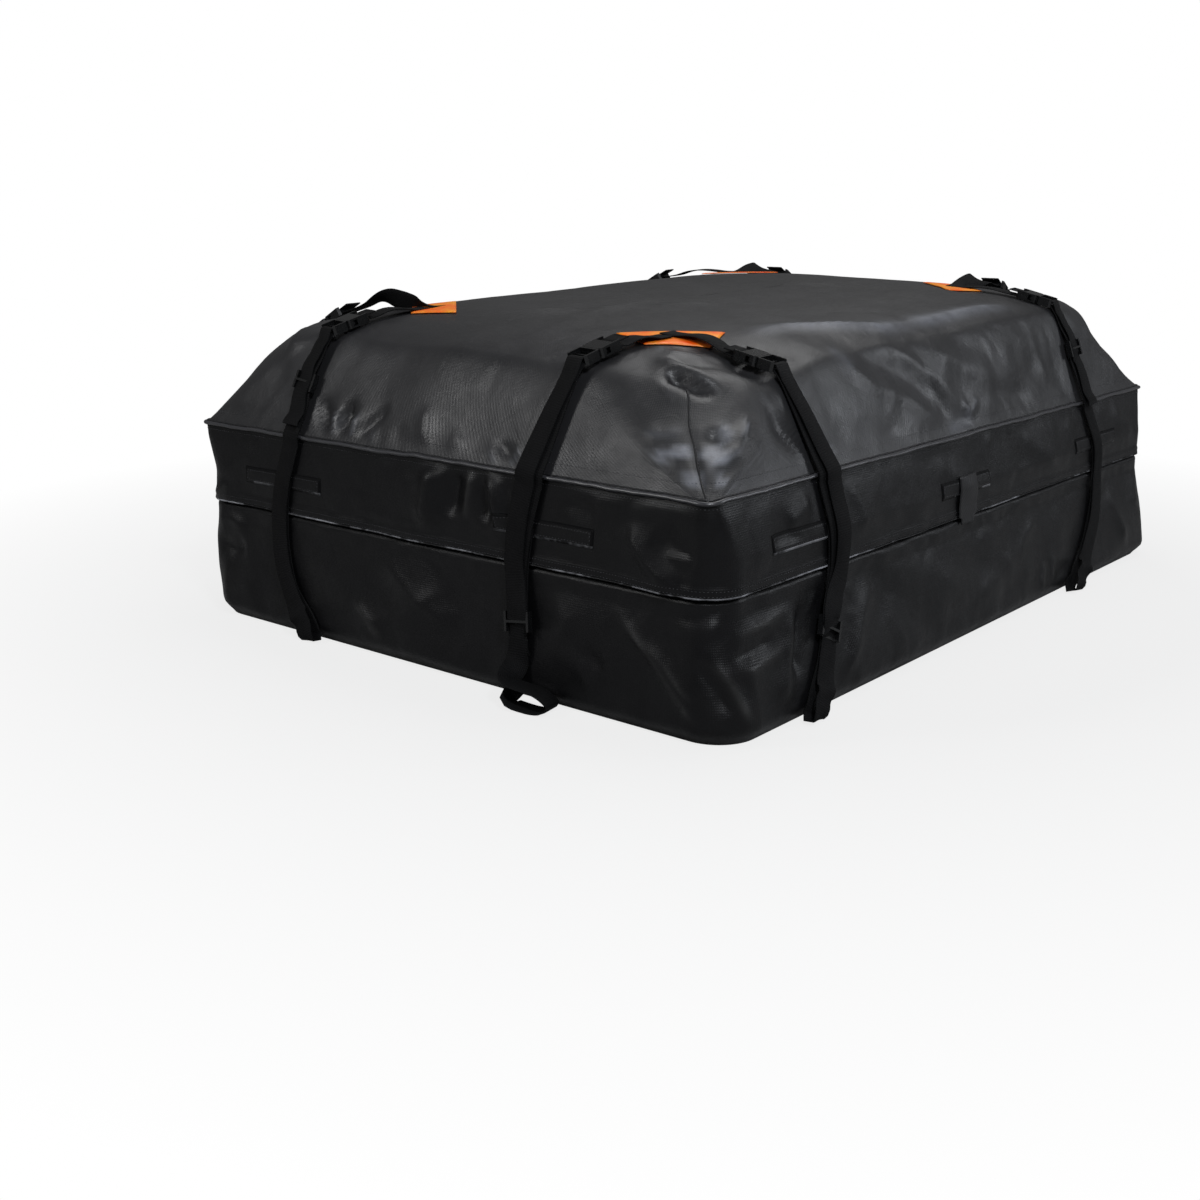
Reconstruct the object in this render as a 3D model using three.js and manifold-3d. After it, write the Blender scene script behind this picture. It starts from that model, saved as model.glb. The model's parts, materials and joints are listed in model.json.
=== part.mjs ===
// Roof cargo bag: a soft PVC tarpaulin bag for the roof of a car, with a zipped lid under a
// storm flap and eight doubled webbing straps, each closed by a side-release buckle.
// Units are millimetres, +Z is up, +X runs along the long side, and the origin is the middle
// of the base, where the bag rests. "left" is -X, "right" is +X, "front" is -Y, "back" is +Y.

import * as THREE from 'three';
import { mergeVertices } from 'three/addons/utils/BufferGeometryUtils.js';
import Module from 'manifold-3d';

const wasm = await Module();
wasm.setup();

// The bag's outline at four heights: base, zip zone (upright), piping and shoulder.
const BASE_LENGTH = 1220;
const BASE_WIDTH = 905;
const BASE_CORNER_R = 62;
const ZIP_LENGTH = 1208;
const ZIP_WIDTH = 884;
const ZIP_CORNER_R = 46;
const ZIP_LEAN_X = 8;
const ZIP_LEAN_Y = 17;
const PIPING_LENGTH = 1206;
const PIPING_WIDTH = 868;
const PIPING_CORNER_R = 16;
const LEAST_R = 4;
const PIPING_LEAN_X = 12;
const PIPING_LEAN_Y = 26;
// Corner radii at the shoulder, in the order front right, back right, back left, front left.
const SHOULDER_CORNERS_R = [190, 190, 115, 190];
const SHOULDER_ROUNDING_RUN = 36;

// Heights above the roof that the bag lies on.
const BASE_EDGE_Z = 20;
const ZIP_ZONE_BOTTOM_Z = 138;
const HEM_Z = 160;
const ZIP_ZONE_TOP_Z = 200;
const PIPING_Z = 265;
const SHOULDER_Z = 392;
const TOP_Z = 430;
const SLOPE_RUN = 56;
const SHOULDER_BLEND = 44;
const CROWN_POWER = 4.5;
const TOP_TILT_X = 0.02;
const TOP_TILT_Y = 0.018;

// Cloth and seams.
const CLOTH = 3;
const SEAM_GAP = 0.3;
const BASE_EDGE_TURN = 15;
const PIPING_R = 2.5;
const PATCH_THICKNESS = 1.4;

// The zip and the channel that the storm flap keeps over it.
const CHANNEL_DEPTH = 13.5;
const TAPE_THICKNESS = 1.2;
const TAPE_BOTTOM_Z = 165;
const WALL_RIM_Z = 174;
const COIL_Z = 179;
const COIL_HEIGHT = 4.6;
const COIL_DEPTH = 2.2;
const ZIP_MEETING_X = -32;
const SLIDER_LENGTH = 14;
const SLIDER_HEIGHT = 11;
const SLIDER_DEPTH = 4.6;
const SLIDER_PARTING = 8;
const BRIDGE_LENGTH = 11;
const BRIDGE_RISE = 4.6;
const BRIDGE_BAR = 1.3;
const PULL_WIDTH = 8;
const PULL_LENGTH = 20;
const PULL_THICKNESS = 1.4;

// Webbing, its sewn patches and the loops that go round the roof rack's bars.
const WEBBING_WIDTH = 30;
const WEBBING_THICKNESS = 2;
const KEEPER_LENGTH = 150;
const KEEPER_HEIGHT = 22;
const KEEPER_PROUD = 1.5;
const KEEPER_TOP_Z = 216;
const STRAP_STAND_OFF = 1.4;
const LOOP_REACH = 14;
const LOOP_HEIGHT = 17;
const TAIL_LENGTH = 16;
const FLAT_BESIDE_STRAP = 74;

// Side-release buckles for the webbing, and the slip-locks.
const BUCKLE_WIDTH = 38;
const BUCKLE_THICKNESS = 12;
const FEMALE_LENGTH = 31;
const MALE_BASE_LENGTH = 22;
const BUCKLE_WALL = 2.4;
const BUCKLE_BAR = 4.5;
const BUCKLE_SLOT = 6;
const PRONG_LENGTH = 21;
const PRONG_WIDTH = 5;
const PRONG_THICKNESS = 5;
const BUCKLE_PARTING = 0.4;
const BUCKLE_CUT = 3;
const BAR_LOW = 3.5;
const BAR_HIGH = 7.5;
const MALE_FRAME = 4;
const SLIP_LOCK_WIDTH = 38;
const SLIP_LOCK_LENGTH = 24;
const SLIP_LOCK_BAR = 3;
const SLIP_LOCK_CLEARANCE = 0.5;
const SLIP_LOCK_SHELL = 2.2;
const LOCK_STAND_OFF = 3;
const LOCK_LOW_Z = 46;
const LOCK_HIGH_Z = 140;

// Corner patches and the tab over the zip's meeting point.
const CORNER_PATCH_FAR_EDGE = 132;
const CORNER_PATCH_NEAR_EDGE = 78;
const CORNER_PATCH_DEPTH = 60;
const TAB_WIDTH = 50;
const TAB_TOP_Z = 216;
const TAB_BOTTOM_Z = 152;
const TAB_PATCH_WIDTH = 138;
const TAB_PATCH_HEIGHT = 22;
const TAB_PATCH_TOP_Z = 213;
const TAB_THICKNESS = 1.6;

// Facets round the outline: steps along a long side, a short side and a corner.
const LONG_STEPS = 13;
const SHORT_STEPS = 9;
const CORNER_STEPS = 4;

// Heights of the rows of facets on the wall and on the band, and the top sheet's insets.
const WALL_ROWS = [56, 96, 132];
const BAND_ROWS = [242, 221];
const LID_ROWS = [14, 28, 42, 56, 74, 98, 130, 180, 250, 330, 400];
const LID_LINING_ROWS = [14, 28, 42, 56, 74, 98, 180, 330];

// The four sides, by outward normal and by the direction in which a strap's place is measured.
const SIDES = {
  left: { normal: [-1, 0], along: [0, 1] },
  right: { normal: [1, 0], along: [0, 1] },
  front: { normal: [0, -1], along: [1, 0] },
  back: { normal: [0, 1], along: [1, 0] },
};

// The middles of the four corner patches on the top sheet.
const CORNERS = {
  left_front: [-400, -215],
  left_back: [-385, 205],
  right_front: [345, -200],
  right_back: [362, 222],
};

// Each strap: its side, its place along that side at the floor, the hem and the piping, the
// middle of the stitched patch that it is sewn to, its corner patch, and how far its buckle's
// middle lies from the piping.
const STRAPS = {
  left_front: { side: 'left', at: [-165, -142, -166], keeper: -178, corner: 'left_front', buckle: 84 },
  left_back: { side: 'left', at: [215, 290, 262], keeper: 284, corner: 'left_back', buckle: 84 },
  front_left: { side: 'front', at: [-455, -369, -376], keeper: -420, corner: 'left_front', buckle: 84 },
  front_right: { side: 'front', at: [270, 405, 378], keeper: 400, corner: 'right_front', buckle: 84 },
  right_front: { side: 'right', at: [-172, -172, -172], keeper: -172, corner: 'right_front', buckle: 84 },
  right_back: { side: 'right', at: [247, 247, 247], keeper: 247, corner: 'right_back', buckle: 84 },
  back_left: { side: 'back', at: [-415, -415, -415], keeper: -415, corner: 'left_back', buckle: 84 },
  back_right: { side: 'back', at: [322, 322, 322], keeper: 322, corner: 'right_back', buckle: 84 },
};

// Height of each slip-lock that sits low on the wall; the others sit on the slope.
const LOW_LOCK_Z = { left_front: 95, front_left: 95, right_front: 95, back_right: 95 };

// How far each strap's loop reaches out at the roof, where it isn't the usual reach.
const LONG_LOOPS = { left_front: 44 };

// Folds of the cloth: a ridge (or a valley, where proud is negative) from one point of a side
// to another, given as [place along the side, height].
const FOLDS = [
  { side: 'left', from: [-70, 262], to: [-92, 190], proud: 7, width: 34 },
  { side: 'left', from: [60, 190], to: [150, 255], proud: 5, width: 42 },
  { side: 'left', from: [-262, 128], to: [-430, 12], proud: 7, width: 36 },
  { side: 'left', from: [-60, 110], to: [140, 20], proud: 6, width: 44 },
  { side: 'front', from: [-520, 200], to: [-470, 262], proud: 5, width: 36 },
  { side: 'front', from: [-480, 110], to: [-580, 14], proud: 7, width: 36 },
  { side: 'front', from: [-280, 112], to: [-40, 24], proud: 6, width: 46 },
  { side: 'front', from: [60, 20], to: [240, 112], proud: 6, width: 46 },
  { side: 'front', from: [90, 196], to: [200, 258], proud: 5, width: 42 },
  { side: 'front', from: [470, 112], to: [570, 14], proud: 6, width: 36 },
  { side: 'right', from: [-60, 258], to: [20, 196], proud: 6, width: 42 },
  { side: 'right', from: [-40, 24], to: [120, 112], proud: 6, width: 46 },
  { side: 'right', from: [-300, 112], to: [-400, 14], proud: 6, width: 36 },
  { side: 'back', from: [-250, 256], to: [-140, 196], proud: 6, width: 42 },
  { side: 'back', from: [-260, 24], to: [-60, 112], proud: 6, width: 46 },
  { side: 'back', from: [60, 112], to: [220, 24], proud: 6, width: 46 },
];

// Folds of the top sheet and its slopes, from one [x, y] to another.
const LID_FOLDS = [
  { from: [-545, -360], to: [-470, -290], proud: -9, width: 34 },
  { from: [-545, 400], to: [-480, 330], proud: -6, width: 34 },
  { from: [560, -350], to: [490, -290], proud: -6, width: 34 },
  { from: [560, 395], to: [490, 320], proud: -6, width: 34 },
  { from: [-330, -60], to: [230, -130], proud: -4, width: 70 },
  { from: [-250, 120], to: [300, 160], proud: -4, width: 80 },
  { from: [-250, -330], to: [-60, -390], proud: 6, width: 40 },
  { from: [60, -390], to: [230, -330], proud: 5, width: 40 },
  { from: [-560, 40], to: [-500, 120], proud: 5, width: 40 },
];

// Where the load is short under the top sheet, so that a strap pulls it down.
const LID_SAGS = [{ at: [-387, -324], depth: 15, width: 62 }];

const clamp = THREE.MathUtils.clamp;
const lerp = THREE.MathUtils.lerp;
const between = (value, low, high) => clamp((value - low) / (high - low), 0, 1);
const smooth = (value, low, high) => THREE.MathUtils.smoothstep(value, low, high);

// Materials, by what each piece is made of.
function finish(color, roughness, metalness = 0) {
  return new THREE.MeshStandardMaterial({ color, roughness, metalness });
}
const TARPAULIN = finish(0x26272a, 0.42);
const TOP_TARPAULIN = finish(0x38393c, 0.4);
const PIPING_CORD = finish(0x1d1e20, 0.5);
const WEBBING = finish(0x121213, 0.85);
const MOULDED_PLASTIC = finish(0x17181a, 0.35);
const ORANGE_CLOTH = finish(0xff7a20, 0.6);
const ZIP_TAPE = finish(0x161617, 0.9);
const ZIP_METAL = finish(0x2c2d30, 0.35, 0.8);

const bag = new THREE.Group();

function addPiece(name, geometry, material) {
  const piece = new THREE.Mesh(geometry, material);
  piece.name = name;
  bag.add(piece);
  return piece;
}

// A rounded rectangle as a ring of points in plan, each with its outward normal. Every ring
// has the same number of points in the same order, so that rings can be joined by facets.
const CORNER_SIGNS = [[1, -1], [1, 1], [-1, 1], [-1, -1]];

function planRing(halfX, halfY, radii, centre) {
  const corners = CORNER_SIGNS.map(([signX, signY], i) => {
    const radius = radii[i];
    const points = [];
    for (let k = 0; k <= CORNER_STEPS; k += 1) {
      const angle = (Math.PI / 2) * (i - 1 + k / CORNER_STEPS);
      const normal = [Math.cos(angle), Math.sin(angle)];
      const x = signX * (halfX - radius) + radius * normal[0] + centre[0];
      const y = signY * (halfY - radius) + radius * normal[1] + centre[1];
      points.push({ x, y, normal });
    }
    return points;
  });
  return corners.flatMap((points, i) => {
    const from = points[points.length - 1];
    const to = corners[(i + 1) % 4][0];
    const steps = i % 2 === 0 ? SHORT_STEPS : LONG_STEPS;
    const edge = [];
    for (let k = 1; k < steps; k += 1) {
      const share = k / steps;
      edge.push({ x: lerp(from.x, to.x, share), y: lerp(from.y, to.y, share), normal: from.normal });
    }
    return [...points, ...edge];
  });
}

// The wall's and band's outer outline at a height, from the outlines at the stations.
const STATIONS = [
  [BASE_EDGE_Z, BASE_LENGTH / 2, BASE_WIDTH / 2, BASE_CORNER_R, 0, 0],
  [ZIP_ZONE_BOTTOM_Z, ZIP_LENGTH / 2, ZIP_WIDTH / 2, ZIP_CORNER_R, ZIP_LEAN_X, ZIP_LEAN_Y],
  [ZIP_ZONE_TOP_Z, ZIP_LENGTH / 2, ZIP_WIDTH / 2, ZIP_CORNER_R, ZIP_LEAN_X, ZIP_LEAN_Y],
  [PIPING_Z, PIPING_LENGTH / 2, PIPING_WIDTH / 2, PIPING_CORNER_R, PIPING_LEAN_X, PIPING_LEAN_Y],
];

function outlineAt(z) {
  const above = STATIONS.findIndex((station) => station[0] >= z);
  if (above === 0) return STATIONS[0].slice(1);
  if (above < 0) return STATIONS[STATIONS.length - 1].slice(1);
  const [low, high] = [STATIONS[above - 1], STATIONS[above]];
  const t = (z - low[0]) / (high[0] - low[0]);
  return low.slice(1).map((value, i) => lerp(value, high[i + 1], t));
}

function sideRing(z, inset, proudOf = () => 0) {
  const [halfX, halfY, radius, leanX, leanY] = outlineAt(z);
  const radii = CORNER_SIGNS.map(() => Math.max(radius - inset, LEAST_R));
  const ring = planRing(halfX - inset, halfY - inset, radii, [leanX, leanY]);
  return ring.map((point) => {
    const proud = proudOf(point.x, point.y, z, point.normal);
    return new THREE.Vector3(point.x + proud * point.normal[0], point.y + proud * point.normal[1], z);
  });
}

// Where a strap lies along its side at a height: it slants between floor, hem and piping.
function strapPlace({ at: [floor, hem, piping] }, z) {
  return z < HEM_Z ? lerp(floor, hem, between(z, 0, HEM_Z)) : lerp(hem, piping, between(z, HEM_Z, PIPING_Z));
}

// How far the side's cloth stands out in its folds. Straps press it flat, and so do the zip's
// channel, the base's edge and the piping's seam.
function distanceToSegment(px, py, from, to) {
  const [dx, dy] = [to[0] - from[0], to[1] - from[1]];
  const t = clamp(((px - from[0]) * dx + (py - from[1]) * dy) / (dx * dx + dy * dy), 0, 1);
  return Math.hypot(px - from[0] - t * dx, py - from[1] - t * dy);
}

function sideFold(x, y, z, normal) {
  const name = Object.keys(SIDES).find((side) => {
    const facing = SIDES[side].normal;
    return normal[0] * facing[0] + normal[1] * facing[1] > 0.95;
  });
  if (!name) return 0;
  const place = x * SIDES[name].along[0] + y * SIDES[name].along[1];
  let proud = 0;
  for (const fold of FOLDS.filter((entry) => entry.side === name)) {
    const away = distanceToSegment(place, z, fold.from, fold.to) / fold.width;
    proud += fold.proud * Math.exp(-away * away * 2);
  }
  const pressed = Object.values(STRAPS).filter((strap) => strap.side === name);
  const tab = name === 'front' ? Math.abs(ZIP_MEETING_X - place) - TAB_PATCH_WIDTH / 2 : Infinity;
  const nearest = Math.min(tab, ...pressed.map((strap) => Math.abs(strapPlace(strap, z) - place)));
  const free = smooth(nearest, FLAT_BESIDE_STRAP, FLAT_BESIDE_STRAP + WEBBING_WIDTH);
  const channel = z < HEM_Z ? smooth(HEM_Z - z, 22, 40) : smooth(z, ZIP_ZONE_TOP_Z, ZIP_ZONE_TOP_Z + 20);
  const seam = smooth(PIPING_Z - z, 0, 18) * smooth(z, 4, 30);
  return proud * free * channel * seam;
}

// The lid's surface: rings that go in from the piping by an inset, each at its height.
function lidRing(inset) {
  const settle = 1 - smooth(inset, 0, SLOPE_RUN * 2);
  const centre = [PIPING_LEAN_X * settle, PIPING_LEAN_Y * settle];
  const halfX = PIPING_LENGTH / 2 - inset;
  const halfY = PIPING_WIDTH / 2 - inset;
  const rounded = 1 - Math.exp(-inset / SHOULDER_ROUNDING_RUN);
  const radii = SHOULDER_CORNERS_R.map((shoulder) => {
    const radius = lerp(PIPING_CORNER_R, shoulder, rounded);
    return Math.min(radius, halfY - 6);
  });
  return { halfX, halfY, radii, centre };
}

function lidProfile(inset) {
  const slope = PIPING_Z + SEAM_GAP + (inset * (SHOULDER_Z - PIPING_Z)) / SLOPE_RUN;
  const across = clamp((inset - SLOPE_RUN) / (PIPING_WIDTH / 2 - SLOPE_RUN), -0.3, 1);
  const crown = TOP_Z - (TOP_Z - SHOULDER_Z) * (1 - across) ** CROWN_POWER;
  const share = clamp(0.5 + (0.5 * (crown - slope)) / SHOULDER_BLEND, 0, 1);
  return lerp(crown, slope, share) - SHOULDER_BLEND * share * (1 - share);
}

function insideRing(x, y, { halfX, halfY, radii, centre }) {
  const [signX, signY] = [Math.sign(x - centre[0]) || 1, Math.sign(y - centre[1]) || 1];
  const radius = radii[CORNER_SIGNS.findIndex((signs) => signs[0] === signX && signs[1] === signY)];
  const qx = Math.abs(x - centre[0]) - (halfX - radius);
  const qy = Math.abs(y - centre[1]) - (halfY - radius);
  return Math.hypot(Math.max(qx, 0), Math.max(qy, 0)) + Math.min(Math.max(qx, qy), 0) <= radius;
}

function insetAt(x, y) {
  let [low, high] = [0, PIPING_WIDTH / 2 - 8];
  if (!insideRing(x, y, lidRing(low))) return 0;
  for (let i = 0; i < 30; i += 1) {
    const middle = (low + high) / 2;
    if (insideRing(x, y, lidRing(middle))) low = middle;
    else high = middle;
  }
  return low;
}

function lidFold(x, y) {
  let proud = 0;
  for (const fold of LID_FOLDS) {
    const away = distanceToSegment(x, y, fold.from, fold.to) / fold.width;
    proud += fold.proud * Math.exp(-away * away * 2);
  }
  const away = Math.min(...STRAP_LINES.map(({ from, to }) => distanceToSegment(x, y, from, to)));
  const patch = Math.min(...Object.values(CORNERS).map(([cx, cy]) => Math.hypot(x - cx, y - cy)));
  const free = smooth(away, WEBBING_WIDTH, WEBBING_WIDTH * 2);
  return proud * free * smooth(patch, CORNER_PATCH_FAR_EDGE / 2, CORNER_PATCH_FAR_EDGE);
}

function lidSag(x, y) {
  return LID_SAGS.reduce((sum, { at, depth, width }) => {
    const away = Math.hypot(x - at[0], y - at[1]) / width;
    return sum - depth * Math.exp(-away * away);
  }, 0);
}

function lidTilt(x, y, inset) {
  const tilt = (TOP_TILT_X * x + TOP_TILT_Y * y) * smooth(inset, 0, SLOPE_RUN);
  return tilt + (lidFold(x, y) + lidSag(x, y)) * smooth(inset, 0, SLOPE_RUN / 2);
}

function lidHeight(x, y) {
  const inset = insetAt(x, y);
  return lidProfile(inset) + lidTilt(x, y, inset);
}

function lidSurfaceRing(inset, thickness) {
  const step = 0.5;
  const rise = (lidProfile(inset + step) - lidProfile(Math.max(inset - step, 0))) / (step * 2);
  const steep = Math.hypot(1, rise);
  const { halfX, halfY, radii, centre } = lidRing(inset);
  const shift = (thickness * rise) / steep;
  const shifted = radii.map((radius) => Math.max(radius - shift, LEAST_R));
  const ring = planRing(halfX - shift, halfY - shift, shifted, centre);
  const height = lidProfile(inset) - thickness / steep;
  return ring.map(({ x, y }) => new THREE.Vector3(x, y, height + lidTilt(x, y, inset)));
}

// Facets between successive rows of points. Rows join into a closed solid either end to start,
// as a ring's section does, or with a cap at each end, which may be one point.
function skin(rows, { closed = false, capStart = null, capEnd = null } = {}) {
  const positions = rows.flat().flatMap((p) => [p.x, p.y, p.z]);
  const count = rows[0].length;
  const index = [];
  const strips = closed ? rows.length : rows.length - 1;
  for (let r = 0; r < strips; r += 1) {
    const a = r * count;
    const b = ((r + 1) % rows.length) * count;
    for (let k = 0; k < count; k += 1) {
      const next = (k + 1) % count;
      index.push(a + k, a + next, b + next, a + k, b + next, b + k);
    }
  }
  const fan = (start, pole, flip) => {
    const centre = pole ? positions.push(pole.x, pole.y, pole.z) / 3 - 1 : start;
    for (let k = pole ? 0 : 1; k < (pole ? count : count - 1); k += 1) {
      const next = start + ((k + 1) % count);
      index.push(...(flip ? [centre, start + k, next] : [centre, next, start + k]));
    }
  };
  if (!closed) {
    fan(0, capStart, false);
    fan((rows.length - 1) * count, capEnd, true);
  }
  const geometry = new THREE.BufferGeometry();
  geometry.setAttribute('position', new THREE.Float32BufferAttribute(positions, 3));
  geometry.setIndex(index);
  return facingOut(geometry);
}

// A closed sheet between two grids of points, one over the other.
function slab(top, bottom) {
  const [rows, columns] = [top.length, top[0].length];
  const upper = (i, k) => i * columns + k;
  const lower = (i, k) => (rows + i) * columns + k;
  const index = [];
  const quad = (a, b, c, d) => index.push(a, b, c, a, c, d);
  for (let i = 0; i < rows - 1; i += 1) {
    for (let k = 0; k < columns - 1; k += 1) {
      quad(upper(i, k), upper(i + 1, k), upper(i + 1, k + 1), upper(i, k + 1));
      quad(lower(i, k), lower(i, k + 1), lower(i + 1, k + 1), lower(i + 1, k));
    }
  }
  const rim = [];
  for (let i = 0; i < rows - 1; i += 1) rim.push([i, 0]);
  for (let k = 0; k < columns - 1; k += 1) rim.push([rows - 1, k]);
  for (let i = rows - 1; i > 0; i -= 1) rim.push([i, columns - 1]);
  for (let k = columns - 1; k > 0; k -= 1) rim.push([0, k]);
  rim.forEach((here, n) => {
    const next = rim[(n + 1) % rim.length];
    quad(upper(...next), upper(...here), lower(...here), lower(...next));
  });
  const geometry = new THREE.BufferGeometry();
  const positions = [...top.flat(), ...bottom.flat()].flatMap((p) => [p.x, p.y, p.z]);
  geometry.setAttribute('position', new THREE.Float32BufferAttribute(positions, 3));
  geometry.setIndex(index);
  return facingOut(geometry);
}

function facingOut(geometry) {
  const at = geometry.getAttribute('position');
  const index = geometry.getIndex();
  const [a, b, c] = [new THREE.Vector3(), new THREE.Vector3(), new THREE.Vector3()];
  let volume = 0;
  for (let i = 0; i < index.count; i += 3) {
    a.fromBufferAttribute(at, index.getX(i));
    b.fromBufferAttribute(at, index.getX(i + 1));
    c.fromBufferAttribute(at, index.getX(i + 2));
    volume += a.dot(b.cross(c));
  }
  if (volume < 0) {
    for (let i = 0; i < index.count; i += 3) {
      const first = index.getX(i);
      index.setX(i, index.getX(i + 1));
      index.setX(i + 1, first);
    }
  }
  return geometry;
}

// Booleans on closed geometries.
function toSolid(geometry) {
  const bare = geometry.clone();
  ['normal', 'uv'].forEach((name) => bare.deleteAttribute(name));
  const merged = mergeVertices(bare, 1e-4);
  return new wasm.Manifold(new wasm.Mesh({
    numProp: 3,
    vertProperties: new Float32Array(merged.getAttribute('position').array),
    triVerts: new Uint32Array(merged.getIndex().array),
  }));
}

function toGeometry(solid) {
  const { vertProperties, triVerts } = solid.getMesh();
  const geometry = new THREE.BufferGeometry();
  geometry.setAttribute('position', new THREE.BufferAttribute(vertProperties, 3));
  geometry.setIndex(new THREE.BufferAttribute(triVerts, 1));
  return geometry;
}

function block(low, high) {
  const size = high.map((value, i) => value - low[i]);
  const geometry = new THREE.BoxGeometry(...size);
  return geometry.translate(...low.map((value, i) => value + size[i] / 2));
}

function plate(outline, low, high) {
  const shape = new THREE.Shape(outline.map(([x, y]) => new THREE.Vector2(x, y)));
  const geometry = new THREE.ExtrudeGeometry(shape, { depth: high - low, bevelEnabled: false });
  return geometry.translate(0, 0, low);
}

function join(...geometries) {
  return geometries.map(toSolid).reduce((whole, part) => whole.add(part));
}

// Base panel: a flat sheet, its outline inside the turned edge of the wall.
function makeBasePanel() {
  const inset = BASE_EDGE_TURN + SEAM_GAP;
  const ring = (z) => sideRing(BASE_EDGE_Z, inset).map((p) => p.setZ(z));
  const [capStart, capEnd] = [new THREE.Vector3(0, 0, 0), new THREE.Vector3(0, 0, CLOTH)];
  addPiece('base_panel', skin([ring(0), ring(CLOTH)], { capStart, capEnd }), TARPAULIN);
}

// Lower wall: turned in under the bag at the base, upright, and drawn in under the flap to
// meet the zip's lower tape.
function wallInset(z) {
  const rim = CLOTH + CHANNEL_DEPTH + TAPE_THICKNESS + SEAM_GAP;
  return rim * smooth(z, WALL_ROWS[WALL_ROWS.length - 1] - 12, TAPE_BOTTOM_Z - 3);
}

function makeLowerWall() {
  const turn = (z) => BASE_EDGE_TURN * (1 - smooth(z, -6, BASE_EDGE_Z));
  const edge = (z, inset) => sideRing(Math.max(z, BASE_EDGE_Z), inset).map((p) => p.setZ(z));
  const outside = [
    edge(SEAM_GAP, BASE_EDGE_TURN),
    edge(BASE_EDGE_Z * 0.3, turn(BASE_EDGE_Z * 0.3)),
    edge(BASE_EDGE_Z, 0),
    ...WALL_ROWS.map((z) => sideRing(z, wallInset(z), sideFold)),
    sideRing(TAPE_BOTTOM_Z - 3, wallInset(TAPE_BOTTOM_Z - 3)),
    sideRing(WALL_RIM_Z, wallInset(WALL_RIM_Z)),
  ];
  const inside = [
    sideRing(WALL_RIM_Z, wallInset(WALL_RIM_Z) + CLOTH),
    sideRing(TAPE_BOTTOM_Z - 3, wallInset(TAPE_BOTTOM_Z - 3) + CLOTH),
    ...[...WALL_ROWS].reverse().map((z) => sideRing(z, wallInset(z) + CLOTH, sideFold)),
    edge(BASE_EDGE_Z, CLOTH),
    edge(SEAM_GAP + CLOTH, BASE_EDGE_TURN),
  ];
  addPiece('lower_wall', skin([...outside, ...inside], { closed: true }), TARPAULIN);
}

// Lid band: the upright upper wall, whose lower end hangs as the storm flap. A turned-in
// seam holds the zip's upper tape behind the flap. The stitched patches are sewn on it.
const BAND_SHELF_Z = ZIP_ZONE_TOP_Z - 7;
const TAPE_TOP_Z = BAND_SHELF_Z - SEAM_GAP;
const TAPE_OUTER_INSET = CLOTH + CHANNEL_DEPTH;
const TAPE_INNER_INSET = TAPE_OUTER_INSET + TAPE_THICKNESS;

function sideFrame(side, place, z, inset = 0) {
  const { normal, along } = SIDES[side];
  const [halfX, halfY, , leanX, leanY] = outlineAt(z);
  const half = normal[0] ? halfX : halfY;
  const out = half - inset + leanX * normal[0] + leanY * normal[1];
  return new THREE.Vector3(normal[0] * out + along[0] * place, normal[1] * out + along[1] * place, z);
}

function sideBasis(side, place, z, inset = 0) {
  const { normal, along } = SIDES[side];
  const low = sideFrame(side, place, z - 1, inset);
  const high = sideFrame(side, place, z + 1, inset);
  const up = high.sub(low).normalize();
  const across = new THREE.Vector3(along[0], along[1], 0);
  const out = new THREE.Vector3(normal[0], normal[1], 0);
  out.addScaledVector(up, -out.dot(up)).normalize();
  across.copy(up).cross(out);
  return new THREE.Matrix4().makeBasis(across, up, out).setPosition(sideFrame(side, place, z, inset));
}

function keeperPatch({ side, keeper }) {
  const middleZ = KEEPER_TOP_Z - KEEPER_HEIGHT / 2;
  const [half, up] = [KEEPER_LENGTH / 2, KEEPER_HEIGHT / 2];
  const patch = block([-half, -up, -CLOTH / 2], [half, up, KEEPER_PROUD]);
  return patch.applyMatrix4(sideBasis(side, keeper, middleZ));
}

function makeLidBand() {
  const top = PIPING_Z - SEAM_GAP;
  const outside = [top, ...BAND_ROWS, ZIP_ZONE_TOP_Z, HEM_Z].map((z) => sideRing(z, 0, sideFold));
  const inside = [
    sideRing(HEM_Z, CLOTH),
    sideRing(BAND_SHELF_Z, CLOTH),
    sideRing(BAND_SHELF_Z, TAPE_INNER_INSET),
    sideRing(BAND_SHELF_Z + CLOTH, TAPE_INNER_INSET),
    sideRing(BAND_SHELF_Z + CLOTH, CLOTH),
    ...[...BAND_ROWS.slice().reverse(), top].map((z) => sideRing(z, CLOTH, sideFold)),
  ];
  let band = toSolid(skin([...outside, ...inside], { closed: true }));
  for (const strap of Object.values(STRAPS)) {
    band = band.add(toSolid(keeperPatch(strap)));
  }
  addPiece('lid_band', toGeometry(band), TARPAULIN);
}

// Lid top: one sheet for the slopes and the top, sewn to the band at the piping.
const STRAP_LINES = Object.values(STRAPS).map((strap) => {
  const { side, corner } = strap;
  const edge = sideFrame(side, strapPlace(strap, PIPING_Z), PIPING_Z);
  return { from: [edge.x, edge.y], to: CORNERS[corner] };
});

function makeLidTop() {
  const rimInner = lidSurfaceRing(0, 0).map((p, i) => {
    const inner = sideRing(PIPING_Z, CLOTH)[i];
    return new THREE.Vector3(inner.x, inner.y, p.z);
  });
  const outside = [0, ...LID_ROWS].map((inset) => lidSurfaceRing(inset, 0)).reverse();
  const inside = LID_LINING_ROWS.map((inset) => lidSurfaceRing(inset, CLOTH));
  const pole = new THREE.Vector3(0, 0, TOP_Z);
  const under = new THREE.Vector3(0, 0, TOP_Z - CLOTH);
  const geometry = skin([...outside, rimInner, ...inside], { capStart: pole, capEnd: under });
  addPiece('lid_top', geometry, TOP_TARPAULIN);
}

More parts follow.
